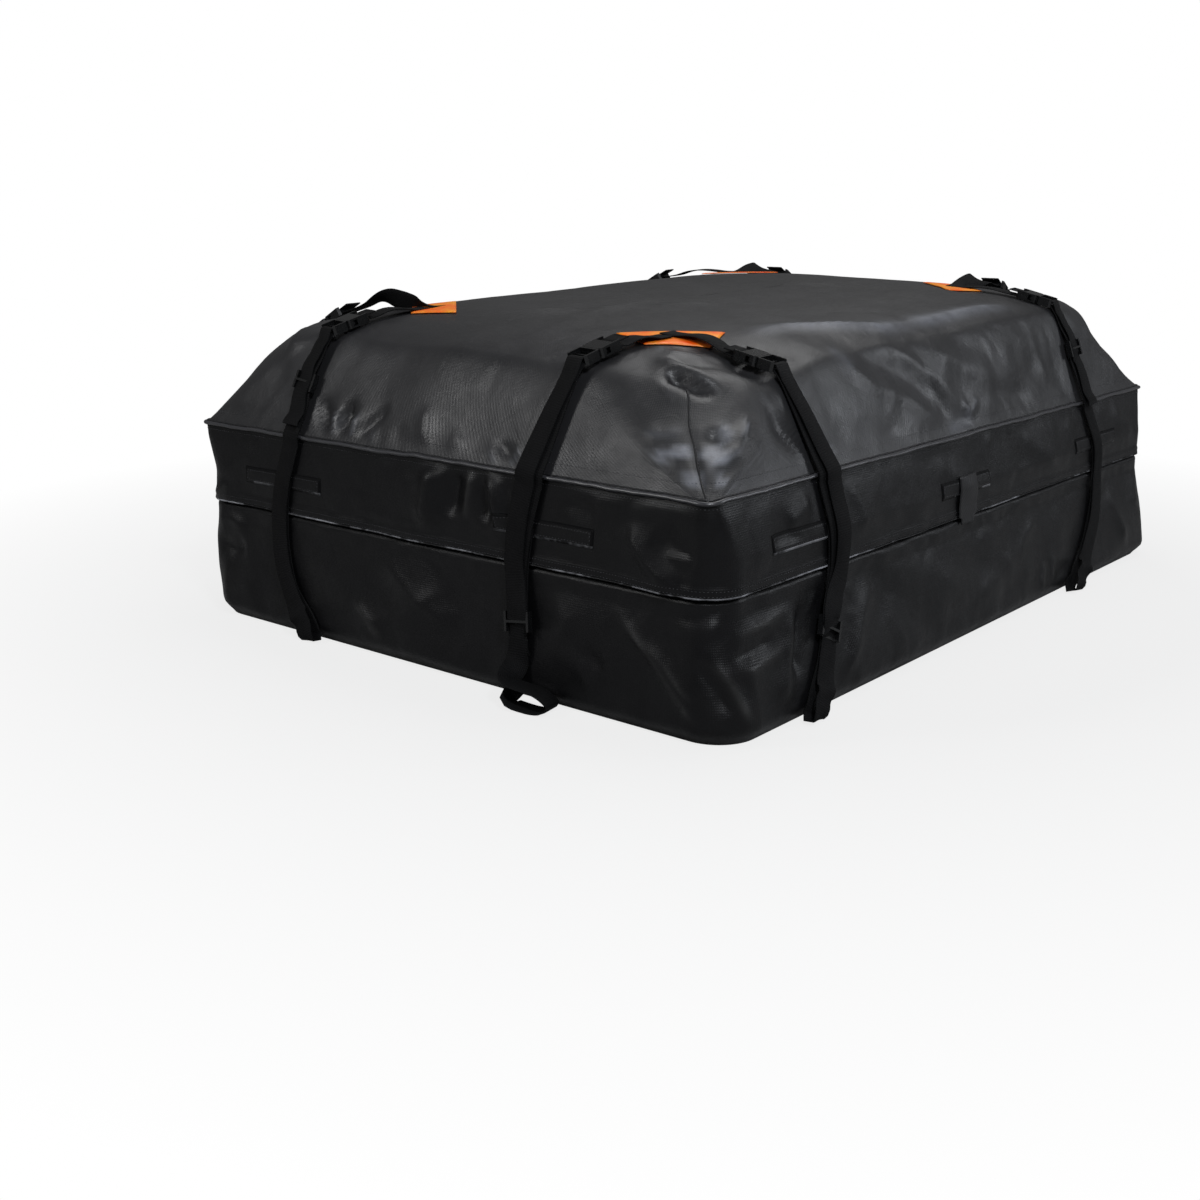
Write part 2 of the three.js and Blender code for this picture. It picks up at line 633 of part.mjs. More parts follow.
// Piping: a corded welt in the seam between band and top, standing proud all the way round.
function makePiping() {
  const facets = 5;
  const section = Array.from({ length: facets }, (_, i) => {
    const angle = (Math.PI * 2 * (i + 0.5)) / facets;
    return [PIPING_R + SEAM_GAP + PIPING_R * Math.cos(angle), PIPING_R * Math.sin(angle)];
  });
  const rows = section.map(([outward, up]) => sideRing(PIPING_Z, -outward).map((p) => p.setZ(PIPING_Z + up)));
  addPiece('top_piping', skin(rows, { closed: true }), PIPING_CORD);
}

// Zip: a tape all round behind the flap, with the coil on the three sides that open. The back
// stays joined, as the lid's hinge.
function makeZipTape() {
  const rows = [
    sideRing(TAPE_BOTTOM_Z, TAPE_OUTER_INSET),
    sideRing(TAPE_TOP_Z, TAPE_OUTER_INSET),
    sideRing(TAPE_TOP_Z, TAPE_INNER_INSET),
    sideRing(TAPE_BOTTOM_Z, TAPE_INNER_INSET),
  ];
  addPiece('zip_tape', skin(rows, { closed: true }), ZIP_TAPE);
}

function makeZipCoil() {
  const inner = TAPE_OUTER_INSET - SEAM_GAP;
  const outer = inner - COIL_DEPTH;
  const [low, high] = [COIL_Z - COIL_HEIGHT / 2, COIL_Z + COIL_HEIGHT / 2];
  const corners = [[inner, low], [outer, low + 1], [outer, high - 1], [inner, high]];
  const rings = corners.map(([inset, z]) => sideRing(z, inset));
  const backStart = CORNER_STEPS + 1 + SHORT_STEPS - 1 + CORNER_STEPS;
  const backEnd = backStart + LONG_STEPS;
  const count = rings[0].length;
  const rows = [];
  for (let k = backEnd; k <= backStart + count; k += 1) {
    rows.push(rings.map((ring) => ring[k % count]));
  }
  addPiece('zip_coil', skin(rows), ZIP_TAPE);
}

// Zip sliders: a body that rides on the coil, with a bridge for the pull.
function sliderSolid() {
  const [half, up] = [SLIDER_LENGTH / 2, SLIDER_HEIGHT / 2];
  const nose = 3;
  const front = [[half - nose, -up], [half, -up + nose], [half, up - nose], [half - nose, up]];
  const outline = [[-half, -up], ...front, [-half, up]];
  const clear = SEAM_GAP;
  const [groove, grooveDepth] = [COIL_HEIGHT / 2 + clear, clear * 2 + COIL_DEPTH];
  const body = toSolid(plate(outline, clear, SLIDER_DEPTH));
  const channel = block([-SLIDER_LENGTH, -groove, -1], [SLIDER_LENGTH, groove, grooveDepth]);
  const bridgeHalf = BRIDGE_LENGTH / 2;
  const bridgeTop = SLIDER_DEPTH + BRIDGE_RISE;
  const width = BRIDGE_BAR / 2;
  const arch = block([-bridgeHalf, -width, SLIDER_DEPTH - 0.5], [bridgeHalf, width, bridgeTop]);
  const eye = block(
    [-bridgeHalf + BRIDGE_BAR, -width - 1, SLIDER_DEPTH],
    [bridgeHalf - BRIDGE_BAR, width + 1, bridgeTop - BRIDGE_BAR],
  );
  return cutAll(body, [channel]).add(cutAll(toSolid(arch), [eye]));
}

// Zip pull: an eye round the bridge's bar and a flat tab that hangs from it.
const PULL_EYE = 4.4;
const PULL_EYE_WALL = 1.2;
const BAR_HEIGHT = SLIDER_DEPTH + BRIDGE_RISE - BRIDGE_BAR / 2;

function pullSolid() {
  const outer = PULL_EYE / 2 + PULL_EYE_WALL;
  const thick = PULL_THICKNESS / 2;
  const eye = toSolid(block([-thick, -outer, -outer], [thick, outer, outer]));
  const [openHalf, openUp] = [PULL_EYE / 2, PULL_EYE / 2 - 0.4];
  const hole = block([-thick - 1, -openHalf, -openUp], [thick + 1, openHalf, openUp]);
  const [half, neck, neckEnd] = [PULL_WIDTH / 2, 1.6, -outer + 0.4];
  const right = [[half - 2, -PULL_LENGTH], [half, -PULL_LENGTH + 2], [half, -7], [neck, neckEnd]];
  const left = [...right].reverse().map(([x, y]) => [-x, y]);
  return cutAll(eye, [hole]).add(toSolid(plate([...left, ...right], -thick, thick)));
}

function makeZipSliders() {
  for (const [name, way] of [['left', -1], ['right', 1]]) {
    const place = ZIP_MEETING_X + way * (SLIDER_LENGTH / 2 + SLIDER_PARTING / 2);
    const frame = sideBasis('front', place, COIL_Z, TAPE_OUTER_INSET);
    const turn = new THREE.Matrix4().makeScale(way, 1, 1);
    const slider = toGeometry(sliderSolid().transform(turn.elements));
    addPiece(`zip_slider_${name}`, slider, ZIP_METAL).applyMatrix4(frame);
    const bar = new THREE.Matrix4().makeTranslation(0, 0, BAR_HEIGHT).premultiply(frame);
    addPiece(`zip_pull_${name}`, toGeometry(pullSolid()), ZIP_METAL).applyMatrix4(bar);
  }
}

// Corner patches: a trapezoid of orange cloth under the ends of each corner's two straps.
const PATCH_STEPS = [2, 6];

function patchGrid([cx, cy], lift) {
  const away = [Math.sign(cx) * Math.SQRT1_2, Math.sign(cy) * Math.SQRT1_2];
  const [depthSteps, lengthSteps] = PATCH_STEPS;
  return Array.from({ length: depthSteps + 1 }, (_, i) => {
    const depth = lerp(-CORNER_PATCH_DEPTH / 2, CORNER_PATCH_DEPTH / 2, i / depthSteps);
    const half = lerp(CORNER_PATCH_FAR_EDGE, CORNER_PATCH_NEAR_EDGE, i / depthSteps) / 2;
    return Array.from({ length: lengthSteps + 1 }, (__, k) => {
      const across = lerp(-half, half, k / lengthSteps);
      const x = cx + away[0] * depth - away[1] * across;
      const y = cy + away[1] * depth + away[0] * across;
      return new THREE.Vector3(x, y, lidHeight(x, y) + lift);
    });
  });
}

function makeCornerPatch(name, middle) {
  const top = patchGrid(middle, SEAM_GAP + PATCH_THICKNESS);
  addPiece(`corner_patch_${name}`, slab(top, patchGrid(middle, SEAM_GAP)), ORANGE_CLOTH);
}

// Closure tab: a stitched patch with a tab that hangs over the hem and covers the sliders.
function tabSheet(halfWidth, low, high, middleZ) {
  const [near, far] = [SEAM_GAP, SEAM_GAP + TAB_THICKNESS];
  const sheet = block([-halfWidth, low - middleZ, near], [halfWidth, high - middleZ, far]);
  return sheet.applyMatrix4(sideBasis('front', ZIP_MEETING_X, middleZ));
}

function makeClosureTab() {
  const [half, wide] = [TAB_WIDTH / 2, TAB_PATCH_WIDTH / 2];
  const [uprightZ, leaningZ] = [HEM_Z + 8, ZIP_ZONE_TOP_Z + 10];
  const whole = join(
    tabSheet(half, TAB_BOTTOM_Z, ZIP_ZONE_TOP_Z, uprightZ),
    tabSheet(wide, TAB_PATCH_TOP_Z - TAB_PATCH_HEIGHT, TAB_PATCH_TOP_Z, leaningZ),
    tabSheet(half, ZIP_ZONE_TOP_Z - 2, TAB_TOP_Z, leaningZ),
  );
  addPiece('closure_tab', toGeometry(whole), TARPAULIN);
}

// Webbing: a flat ribbon along a path. Each station gives the ribbon's middle and the
// direction across it.
function webbing(stations, width = WEBBING_WIDTH, thickness = WEBBING_THICKNESS) {
  const rows = stations.map(({ at, across }, i) => {
    const before = stations[Math.max(i - 1, 0)].at;
    const after = stations[Math.min(i + 1, stations.length - 1)].at;
    const along = after.clone().sub(before).normalize();
    const up = along.clone().cross(across).normalize().multiplyScalar(thickness / 2);
    const side = across.clone().normalize().multiplyScalar(width / 2);
    return [
      at.clone().add(side).add(up),
      at.clone().add(side).sub(up),
      at.clone().sub(side).sub(up),
      at.clone().sub(side).add(up),
    ];
  });
  return skin(rows);
}

// The line of a strap over the lid, from the piping to its corner patch, by plan distance.
function strapLine(strap) {
  const { side, corner } = strap;
  const edge = sideFrame(side, strapPlace(strap, PIPING_Z), PIPING_Z);
  const end = new THREE.Vector3(CORNERS[corner][0], CORNERS[corner][1], 0);
  const run = end.clone().sub(edge).setZ(0);
  const length = run.length();
  const inward = run.normalize();
  const across = new THREE.Vector3(0, 0, 1).cross(inward);
  const onLid = (distance, lift) => {
    const [x, y] = [edge.x + inward.x * distance, edge.y + inward.y * distance];
    const heights = [-0.5, 0, 0.5].map((share) => {
      const side = share * WEBBING_WIDTH;
      return lidHeight(x + across.x * side, y + across.y * side);
    });
    return new THREE.Vector3(x, y, Math.max(...heights) + lift);
  };
  return { edge, inward, across, length, onLid };
}

// The buckle's frame: its axis along the strap, seated on the lid's highest point under it.
const BUCKLE_LENGTH = FEMALE_LENGTH + BUCKLE_PARTING + MALE_BASE_LENGTH;

function buckleFrame(strap) {
  const { inward, across, onLid } = strapLine(strap);
  const reach = BUCKLE_LENGTH / 2;
  const low = onLid(strap.buckle - reach * 0.8, 0);
  const high = onLid(strap.buckle + reach * 0.8, 0);
  const outward = low.clone().sub(high).normalize();
  const up = across.clone().cross(outward).normalize();
  if (up.z < 0) up.negate();
  const middle = low.clone().add(high).multiplyScalar(0.5);
  let lift = 0;
  for (let d = -reach - 4; d <= reach + 4; d += 2) {
    for (const s of [-BUCKLE_WIDTH / 2, 0, BUCKLE_WIDTH / 2]) {
      const probe = middle.clone().addScaledVector(outward, -d).addScaledVector(across, s);
      const gap = lidHeight(probe.x, probe.y) - probe.z;
      lift = Math.max(lift, gap * up.z);
    }
  }
  middle.addScaledVector(up, lift + SEAM_GAP * 4);
  const sideways = up.clone().cross(outward);
  return new THREE.Matrix4().makeBasis(outward, sideways, up).setPosition(middle);
}

// In the buckle's frame x points from the female half to the male half, and z is up from the
// lid. The female half ends at x = MEET, where the male half's base begins.
const MEET = FEMALE_LENGTH - BUCKLE_LENGTH / 2;
const REAR = MEET - FEMALE_LENGTH;
const FRONT = MEET + BUCKLE_PARTING + MALE_BASE_LENGTH;
const TAIL_HEIGHT = BAR_HIGH + WEBBING_THICKNESS / 2 + SEAM_GAP;
const PASSAGE = WEBBING_WIDTH / 2 + 1;

function roundedPlate(x0, x1, halfWidth, cut, low, high) {
  const [y0, y1] = [-halfWidth, halfWidth];
  const lower = [[x0 + cut, y0], [x1 - cut, y0], [x1, y0 + cut]];
  const upper = [[x1, y1 - cut], [x1 - cut, y1], [x0 + cut, y1], [x0, y1 - cut], [x0, y0 + cut]];
  return plate([...lower, ...upper], low, high);
}

function cutAll(body, cutters) {
  return cutters.map(toSolid).reduce((whole, cutter) => whole.subtract(cutter), body);
}

function femaleSolid() {
  const half = BUCKLE_WIDTH / 2;
  const [slotStart, slotEnd] = [REAR + BUCKLE_BAR, REAR + BUCKLE_BAR + BUCKLE_SLOT];
  const pocketStart = slotEnd + BUCKLE_WALL;
  const [inner, roof] = [half - BUCKLE_WALL, BUCKLE_THICKNESS - BUCKLE_WALL];
  const body = toSolid(roundedPlate(REAR, MEET, half, BUCKLE_CUT, 0, BUCKLE_THICKNESS));
  return cutAll(body, [
    block([slotStart, -PASSAGE, -1], [slotEnd, PASSAGE, BUCKLE_THICKNESS + 1]),
    block([REAR - 1, -PASSAGE, BAR_HIGH], [slotStart + 1, PASSAGE, BUCKLE_THICKNESS + 1]),
    block([REAR - 1, -PASSAGE, -1], [slotStart + 1, PASSAGE, BAR_LOW]),
    block([pocketStart, -inner, BUCKLE_WALL], [MEET + 1, inner, roof]),
    block([pocketStart + 5, -half - 1, BUCKLE_WALL], [MEET - 7, half + 1, roof]),
  ]);
}

function maleArm(way, start, tip, low, high) {
  const outer = BUCKLE_WIDTH / 2 - BUCKLE_WALL - SEAM_GAP;
  const inner = outer - PRONG_WIDTH;
  const hook = [[tip + 2, way * (inner - 1)], [tip, way * (outer - 3)], [tip + 5, way * outer]];
  const root = [[start + 1, way * (outer - 1)], [start + 1, way * inner]];
  const outline = [...root, ...hook, [start - 8, way * outer]];
  return plate(way > 0 ? outline : outline.reverse(), low, high);
}

function maleSolid() {
  const start = MEET + BUCKLE_PARTING;
  const frameStart = start + MALE_FRAME;
  const base = toSolid(roundedPlate(start, FRONT, BUCKLE_WIDTH / 2, BUCKLE_CUT, 0, BUCKLE_THICKNESS));
  const slots = [frameStart, frameStart + BUCKLE_SLOT + BUCKLE_BAR / 2].map((x) => block(
    [x, -PASSAGE, -1],
    [x + BUCKLE_SLOT - 0.5, PASSAGE, BUCKLE_THICKNESS + 1],
  ));
  const cutBase = cutAll(base, [
    ...slots,
    block([frameStart - 1, -PASSAGE, BAR_HIGH], [FRONT + 1, PASSAGE, BUCKLE_THICKNESS + 1]),
    block([frameStart - 1, -PASSAGE, -1], [FRONT + 1, PASSAGE, BAR_LOW]),
  ]);
  const [low, high] = [(BUCKLE_THICKNESS - PRONG_THICKNESS) / 2, (BUCKLE_THICKNESS + PRONG_THICKNESS) / 2];
  const tip = start - PRONG_LENGTH + BUCKLE_SLOT;
  const guide = block([tip, -PRONG_WIDTH / 2, low], [start + 1, PRONG_WIDTH / 2, high]);
  return join(guide, maleArm(1, start, tip, low, high), maleArm(-1, start, tip, low, high)).add(cutBase);
}

// Where webbing goes round a buckle's bar: out over it, round its far side and back under.
function barWrap(frame, x, way) {
  const across = new THREE.Vector3(0, 1, 0).transformDirection(frame);
  const lap = WEBBING_THICKNESS / 2 + SEAM_GAP;
  const [near, far] = [x - way * (BUCKLE_BAR / 2 + lap), x + way * (BUCKLE_BAR / 2 + lap)];
  const [under, over] = [BAR_LOW - lap, BAR_HIGH + lap];
  const bend = [[far - way, over], [far, over - 1.2], [far, under + 1.2], [far - way, under]];
  const points = [[near, over], ...bend, [near, under]];
  return points.map(([px, pz]) => ({ at: new THREE.Vector3(px, 0, pz).applyMatrix4(frame), across }));
}

// Short strap: sewn to the corner patch at one end, round the female half's bar at the other.
const SLOPE_SHARES = [0.3, 0.62, 0.9];
const SLOPE_LIFT = 3;
const SLOPE_STAND_OFF = 5.5;
const STRAP_LIFT = SEAM_GAP * 3 + PATCH_THICKNESS + WEBBING_THICKNESS / 2;

function makeShortStrap(name, strap, frame) {
  const line = strapLine(strap);
  const overlapsOther = strap.side === 'left' || strap.side === 'right';
  const end = overlapsOther ? line.length - WEBBING_WIDTH / 2 - 9 : line.length + WEBBING_WIDTH / 2 - 1;
  const barX = REAR + BUCKLE_BAR / 2;
  const buckleEnd = strap.buckle + BUCKLE_LENGTH / 2;
  const stations = [];
  for (const share of [0, 0.25, 0.5, 0.75]) {
    stations.push({ at: line.onLid(lerp(end, buckleEnd, share), STRAP_LIFT), across: line.across });
  }
  const wrap = barWrap(frame, barX, 1).reverse();
  const sameWay = wrap[0].across.dot(line.across) > 0;
  if (!sameWay) wrap.forEach((station) => station.across.negate());
  const lower = wrap.map(({ at, across }) => ({ at, across: across.clone() }));
  const tail = new THREE.Vector3(REAR - TAIL_LENGTH, 0, TAIL_HEIGHT).applyMatrix4(frame);
  stations.push(...lower, { at: tail, across: lower[0].across });
  addPiece(`short_strap_${name}`, webbing(stations), WEBBING);
}

// Long strap: sewn to the band's patch, down the wall, out in a loop at the roof, up over the
// first layer, the piping and the slope, and round the male half's bar.
function strapProfile(strap) {
  const clear = SEAM_GAP + WEBBING_THICKNESS / 2;
  const layer = WEBBING_THICKNESS + SEAM_GAP * 2;
  const surface = (z, height) => sideFrame(strap.side, strapPlace(strap, height), z);
  const { normal } = SIDES[strap.side];
  const out = new THREE.Vector3(normal[0], normal[1], 0);
  const across = new THREE.Vector3(0, 0, 1).cross(out).negate();
  const at = (z, away, height = z) => {
    const point = surface(z, height).addScaledVector(out, away);
    return { at: point.setZ(height), across };
  };
  const floor = WEBBING_THICKNESS / 2 + SEAM_GAP;
  const first = KEEPER_PROUD + STRAP_STAND_OFF + clear;
  const second = first + layer;
  const reach = LONG_LOOPS[strap.name] ?? LOOP_REACH;
  const down = [
    at(KEEPER_TOP_Z - 8, first),
    at(ZIP_ZONE_TOP_Z, first),
    at(ZIP_ZONE_BOTTOM_Z, first - KEEPER_PROUD * 0.3),
    at(BASE_EDGE_Z + 14, clear + 0.9),
  ];
  const loop = [
    at(BASE_EDGE_Z, clear + 1.8, 12),
    at(BASE_EDGE_Z, clear + 4.6, floor + 1.4),
    at(BASE_EDGE_Z, reach * 0.75 + 2, floor),
    at(BASE_EDGE_Z, reach + 3, floor + LOOP_HEIGHT * 0.35),
    at(BASE_EDGE_Z, reach * 0.8 + 3, LOOP_HEIGHT),
    at(BASE_EDGE_Z, clear + layer + 6, LOOP_HEIGHT + 8),
  ];
  const up = [
    at(LOCK_LOW_Z, second + LOCK_STAND_OFF),
    at(LOCK_HIGH_Z, second + LOCK_STAND_OFF),
    at(HEM_Z, second + 0.6),
    at(ZIP_ZONE_TOP_Z, second),
    at(PIPING_Z - 20, second + 1.6),
    at(PIPING_Z, PIPING_R * 2 + SEAM_GAP + clear, PIPING_Z - 2),
    at(PIPING_Z, PIPING_R * 2 + SEAM_GAP + clear, PIPING_Z + 4),
  ];
  return { down, loop, up };
}

function slopeStations(strap) {
  const line = strapLine(strap);
  const { up } = strapProfile(strap);
  const buckleStart = strap.buckle - BUCKLE_LENGTH / 2;
  return SLOPE_SHARES.map((share) => {
    const station = line.onLid(buckleStart * share, SLOPE_LIFT);
    return { at: station.addScaledVector(line.inward, -SLOPE_STAND_OFF), across: up[0].across };
  });
}

function makeLongStrap(name, strap, frame) {
  const { down, loop, up } = strapProfile(strap);
  const slope = slopeStations(strap);
  const wrap = barWrap(frame, FRONT - BUCKLE_BAR / 2, -1).reverse();
  const sameWay = wrap[0].across.dot(up[0].across) > 0;
  const round = wrap.map(({ at, across }) => ({ at, across: sameWay ? across : across.clone().negate() }));
  const tail = new THREE.Vector3(FRONT + TAIL_LENGTH, 0, TAIL_HEIGHT).applyMatrix4(frame);
  const stations = [...down, ...loop, ...up, ...slope, ...round, { at: tail, across: round[0].across }];
  addPiece(`long_strap_${name}`, webbing(stations), WEBBING);
}

// Slip-lock: a moulded slide whose end bars lie behind the webbing and whose middle bar lies
// in front of it.
function slipLockSolid() {
  const [half, long] = [SLIP_LOCK_WIDTH / 2, SLIP_LOCK_LENGTH / 2];
  const thick = WEBBING_THICKNESS + SLIP_LOCK_CLEARANCE * 2;
  const depth = thick / 2 + SLIP_LOCK_SHELL;
  const body = toSolid(block([-half, -long, -depth], [half, long, depth]));
  const inside = WEBBING_WIDTH / 2 + SLIP_LOCK_CLEARANCE;
  const channel = block([-inside, -long - 1, -thick / 2], [inside, long + 1, thick / 2]);
  const upper = block([-inside, SLIP_LOCK_BAR / 2, 0], [inside, long + 1, depth + 1]);
  const lower = block([-inside, -long - 1, 0], [inside, -SLIP_LOCK_BAR / 2, depth + 1]);
  const behind = block([-inside, -long + SLIP_LOCK_BAR, -depth - 1], [inside, long - SLIP_LOCK_BAR, 0]);
  return [channel, upper, lower, behind].map(toSolid).reduce((whole, cut) => whole.subtract(cut), body);
}

function makeSlipLock(name, strap, geometry) {
  const { up } = strapProfile(strap);
  const lowZ = LOW_LOCK_Z[name];
  const [low, high] = lowZ ? [up[0], up[1]] : slopeStations(strap).slice(0, 2);
  const share = lowZ ? (lowZ - low.at.z) / (high.at.z - low.at.z) : 0.5;
  const along = high.at.clone().sub(low.at).normalize();
  const across = up[0].across.clone().addScaledVector(along, -up[0].across.dot(along)).normalize();
  const [sx, sy] = SIDES[strap.side].normal;
  let out = across.clone().cross(along);
  if (out.x * sx + out.y * sy < 0) {
    across.negate();
    out = across.clone().cross(along);
  }
  const frame = new THREE.Matrix4().makeBasis(across, along, out);
  frame.setPosition(low.at.clone().lerp(high.at, share));
  addPiece(`slip_lock_${name}`, geometry, MOULDED_PLASTIC).applyMatrix4(frame);
}

function makeStraps() {
  const female = toGeometry(femaleSolid());
  const male = toGeometry(maleSolid());
  const slipLock = toGeometry(slipLockSolid());
  for (const [name, facts] of Object.entries(STRAPS)) {
    const strap = { ...facts, name };
    const frame = buckleFrame(strap);
    addPiece(`buckle_female_${name}`, female, MOULDED_PLASTIC).applyMatrix4(frame);
    addPiece(`buckle_male_${name}`, male, MOULDED_PLASTIC).applyMatrix4(frame);
    makeShortStrap(name, strap, frame);
    makeLongStrap(name, strap, frame);
    makeSlipLock(name, strap, slipLock);
  }
}

makeBasePanel();
makeLowerWall();
makeLidBand();
makeLidTop();
makePiping();
makeZipTape();
makeZipCoil();
makeZipSliders();
for (const [name, middle] of Object.entries(CORNERS)) makeCornerPatch(name, middle);
makeClosureTab();
makeStraps();

export default bag;
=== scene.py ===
"""A soft roof cargo bag, packed full and strapped shut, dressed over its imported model."""

import json
import math

import bpy
import numpy as np
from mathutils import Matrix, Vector
from mathutils.bvhtree import BVHTree


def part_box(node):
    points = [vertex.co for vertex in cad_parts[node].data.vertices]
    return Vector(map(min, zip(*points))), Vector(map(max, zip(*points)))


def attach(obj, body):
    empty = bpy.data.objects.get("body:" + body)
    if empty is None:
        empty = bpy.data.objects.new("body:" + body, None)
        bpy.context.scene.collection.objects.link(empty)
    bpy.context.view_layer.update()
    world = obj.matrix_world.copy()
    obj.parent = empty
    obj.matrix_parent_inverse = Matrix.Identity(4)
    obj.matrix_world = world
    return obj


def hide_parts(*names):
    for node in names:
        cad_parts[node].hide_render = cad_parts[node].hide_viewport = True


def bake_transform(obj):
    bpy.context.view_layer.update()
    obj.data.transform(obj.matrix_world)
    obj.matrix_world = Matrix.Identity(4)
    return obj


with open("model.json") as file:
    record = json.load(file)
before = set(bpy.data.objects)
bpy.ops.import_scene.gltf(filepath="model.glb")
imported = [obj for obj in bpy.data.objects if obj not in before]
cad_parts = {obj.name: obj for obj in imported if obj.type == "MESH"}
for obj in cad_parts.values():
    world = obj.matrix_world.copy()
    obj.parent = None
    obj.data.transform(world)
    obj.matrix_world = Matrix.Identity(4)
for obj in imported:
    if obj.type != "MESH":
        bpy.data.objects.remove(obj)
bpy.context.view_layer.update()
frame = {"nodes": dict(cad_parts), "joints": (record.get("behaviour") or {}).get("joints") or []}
cad_nodes = frame["nodes"]

# Camera. The bag was photographed from a little above, with its near corner in the middle of
# the picture: a normal lens at 2.3 m, square frame.
camera_lens = bpy.data.cameras.new("photo_lens")
camera_lens.sensor_width = 36
camera_lens.lens = 44.85
camera = bpy.data.objects.new("photo_camera", camera_lens)
bpy.context.collection.objects.link(camera)
looking = Vector((0.742, 0.614, -0.269)).normalized()
camera.location = (-1.8337, -1.2871, 0.586)
camera.rotation_euler = looking.to_track_quat("-Z", "Y").to_euler()
bpy.context.scene.camera = camera
bpy.context.scene.view_settings.view_transform = "Standard"

# Tub. The lower wall is one band of PVC-coated polyester tarpaulin, welded to the base sheet
# with its edge turned under. It is upright, bulges between the straps over the load, and is
# drawn in behind the storm flap to meet the zip. All lengths below are in millimetres.
MM = 0.001
BAG_OUTLINES = (
    (20, 610, 452.5, 62, 0, 0),
    (138, 604, 442, 46, 8, 17),
    (200, 604, 442, 46, 8, 17),
    (265, 603, 434, 16, 12, 26),
)
TURN_Z = BAG_OUTLINES[0][0]
CORNER_SIGNS = ((1, -1), (1, 1), (-1, 1), (-1, -1))
LONG_COLUMNS, SHORT_COLUMNS, CORNER_COLUMNS, FINER_NEAR = 268, 196, 42, 1.4


def cloth_ring(half_x, half_y, radii, centre):
    """Points and outward directions round a rounded rectangle, from the front right corner."""
    corners = []
    for i, (sign_x, sign_y) in enumerate(CORNER_SIGNS):
        angle = math.pi / 2 * (i - 1 + np.arange(CORNER_COLUMNS + 1) / CORNER_COLUMNS)
        out = np.stack([np.cos(angle), np.sin(angle)], 1)
        middle = [sign_x * (half_x - radii[i]) + centre[0],
                  sign_y * (half_y - radii[i]) + centre[1]]
        corners.append((np.array(middle) + radii[i] * out, out))
    places, outs = [], []
    for i, (points, out) in enumerate(corners):
        following = corners[(i + 1) % 4][0][0]
        steps = SHORT_COLUMNS if i % 2 == 0 else LONG_COLUMNS
        share = (np.arange(1, steps) / steps)[:, None]
        if i >= 2:
            share = 1 - (1 - share) ** FINER_NEAR if i == 2 else share ** FINER_NEAR
        places += [points, points[-1] + (following - points[-1]) * share]
        outs += [out, np.repeat(out[-1:], steps - 1, 0)]
    return np.concatenate(places), np.concatenate(outs)


def outline_at(z):
    heights = [row[0] for row in BAG_OUTLINES]
    return [np.interp(z, heights, [row[i] for row in BAG_OUTLINES]) for i in range(1, 6)]


def side_reach(out, z):
    """How far a side of the bag lies from the middle at a height."""
    half_x, half_y, _, lean_x, lean_y = outline_at(z)
    return (half_x if out[0] else half_y) + lean_x * out[0] + lean_y * out[1]


def side_ring(z, inset=0.0, height=None):
    """The bag's upright side at a height, set in by an inset, as 3-D points and directions."""
    half_x, half_y, radius, lean_x, lean_y = outline_at(z)
    radii = [max(radius - inset, 3)] * 4
    places, outs = cloth_ring(half_x - inset, half_y - inset, radii, (lean_x, lean_y))
    level = np.full((len(places), 1), z if height is None else height)
    return np.hstack([places, level]), np.hstack([outs, np.zeros((len(outs), 1))])


def smooth(value, low, high):
    share = np.clip((value - low) / (high - low), 0, 1)
    return share * share * (3 - 2 * share)


def crumple(points, size, seed):
    """Smooth noise from -1 to 1 at points, with lumps of about that size in mm."""
    random = np.random.RandomState(seed)
    order = random.permutation(256)
    slopes = random.normal(size=(256, 3))
    slopes /= np.linalg.norm(slopes, axis=1)[:, None]
    cell = np.floor(points / size).astype(int)
    inside = points / size - cell
    ease = inside * inside * inside * (inside * (inside * 6 - 15) + 10)
    total = np.zeros(len(points))
    for corner in np.ndindex(2, 2, 2):
        at = cell + corner
        pick = order[(order[(order[at[:, 0] & 255] + at[:, 1]) & 255] + at[:, 2]) & 255]
        value = ((inside - corner) * slopes[pick]).sum(1)
        weight = np.where(corner, ease, 1 - ease).prod(1)
        total += weight * value
    return total * 1.7


def crushed(points, size, seed):
    """Facets with sharp creases between them, as stiff coated cloth crushes, from about -1 to 1."""
    first, second = crumple(points, size, seed), crumple(points, size * 0.8, seed + 50)
    third = crumple(points, size * 0.9, seed + 90)
    return np.maximum(first, np.minimum(second, third)) - 0.12


def fold_height(points, folds):
    """How far cloth stands out at points, from folds given as (line, height, width, edge)."""
    total = np.zeros(len(points))
    for line, height, width, edge in folds:
        line = np.array(line, float)
        best = np.full(len(points), np.inf)
        along = np.zeros(len(points))
        steps = np.linalg.norm(np.diff(line, axis=0), axis=1)
        reach = np.concatenate([[0], np.cumsum(steps)]) / steps.sum()
        for a, b, start, length in zip(line[:-1], line[1:], reach[:-1], steps):
            share = np.clip(((points - a) @ (b - a)) / length ** 2, 0, 1)
            away = np.linalg.norm(points - a - share[:, None] * (b - a), axis=1)
            nearer = away < best
            best = np.where(nearer, away, best)
            along = np.where(nearer, start + share * length / steps.sum(), along)
        fade = smooth(along, -0.02, 0.3) * smooth(1 - along, -0.02, 0.3)
        total += height * fade * np.exp(-((best / width) ** edge))
    return total


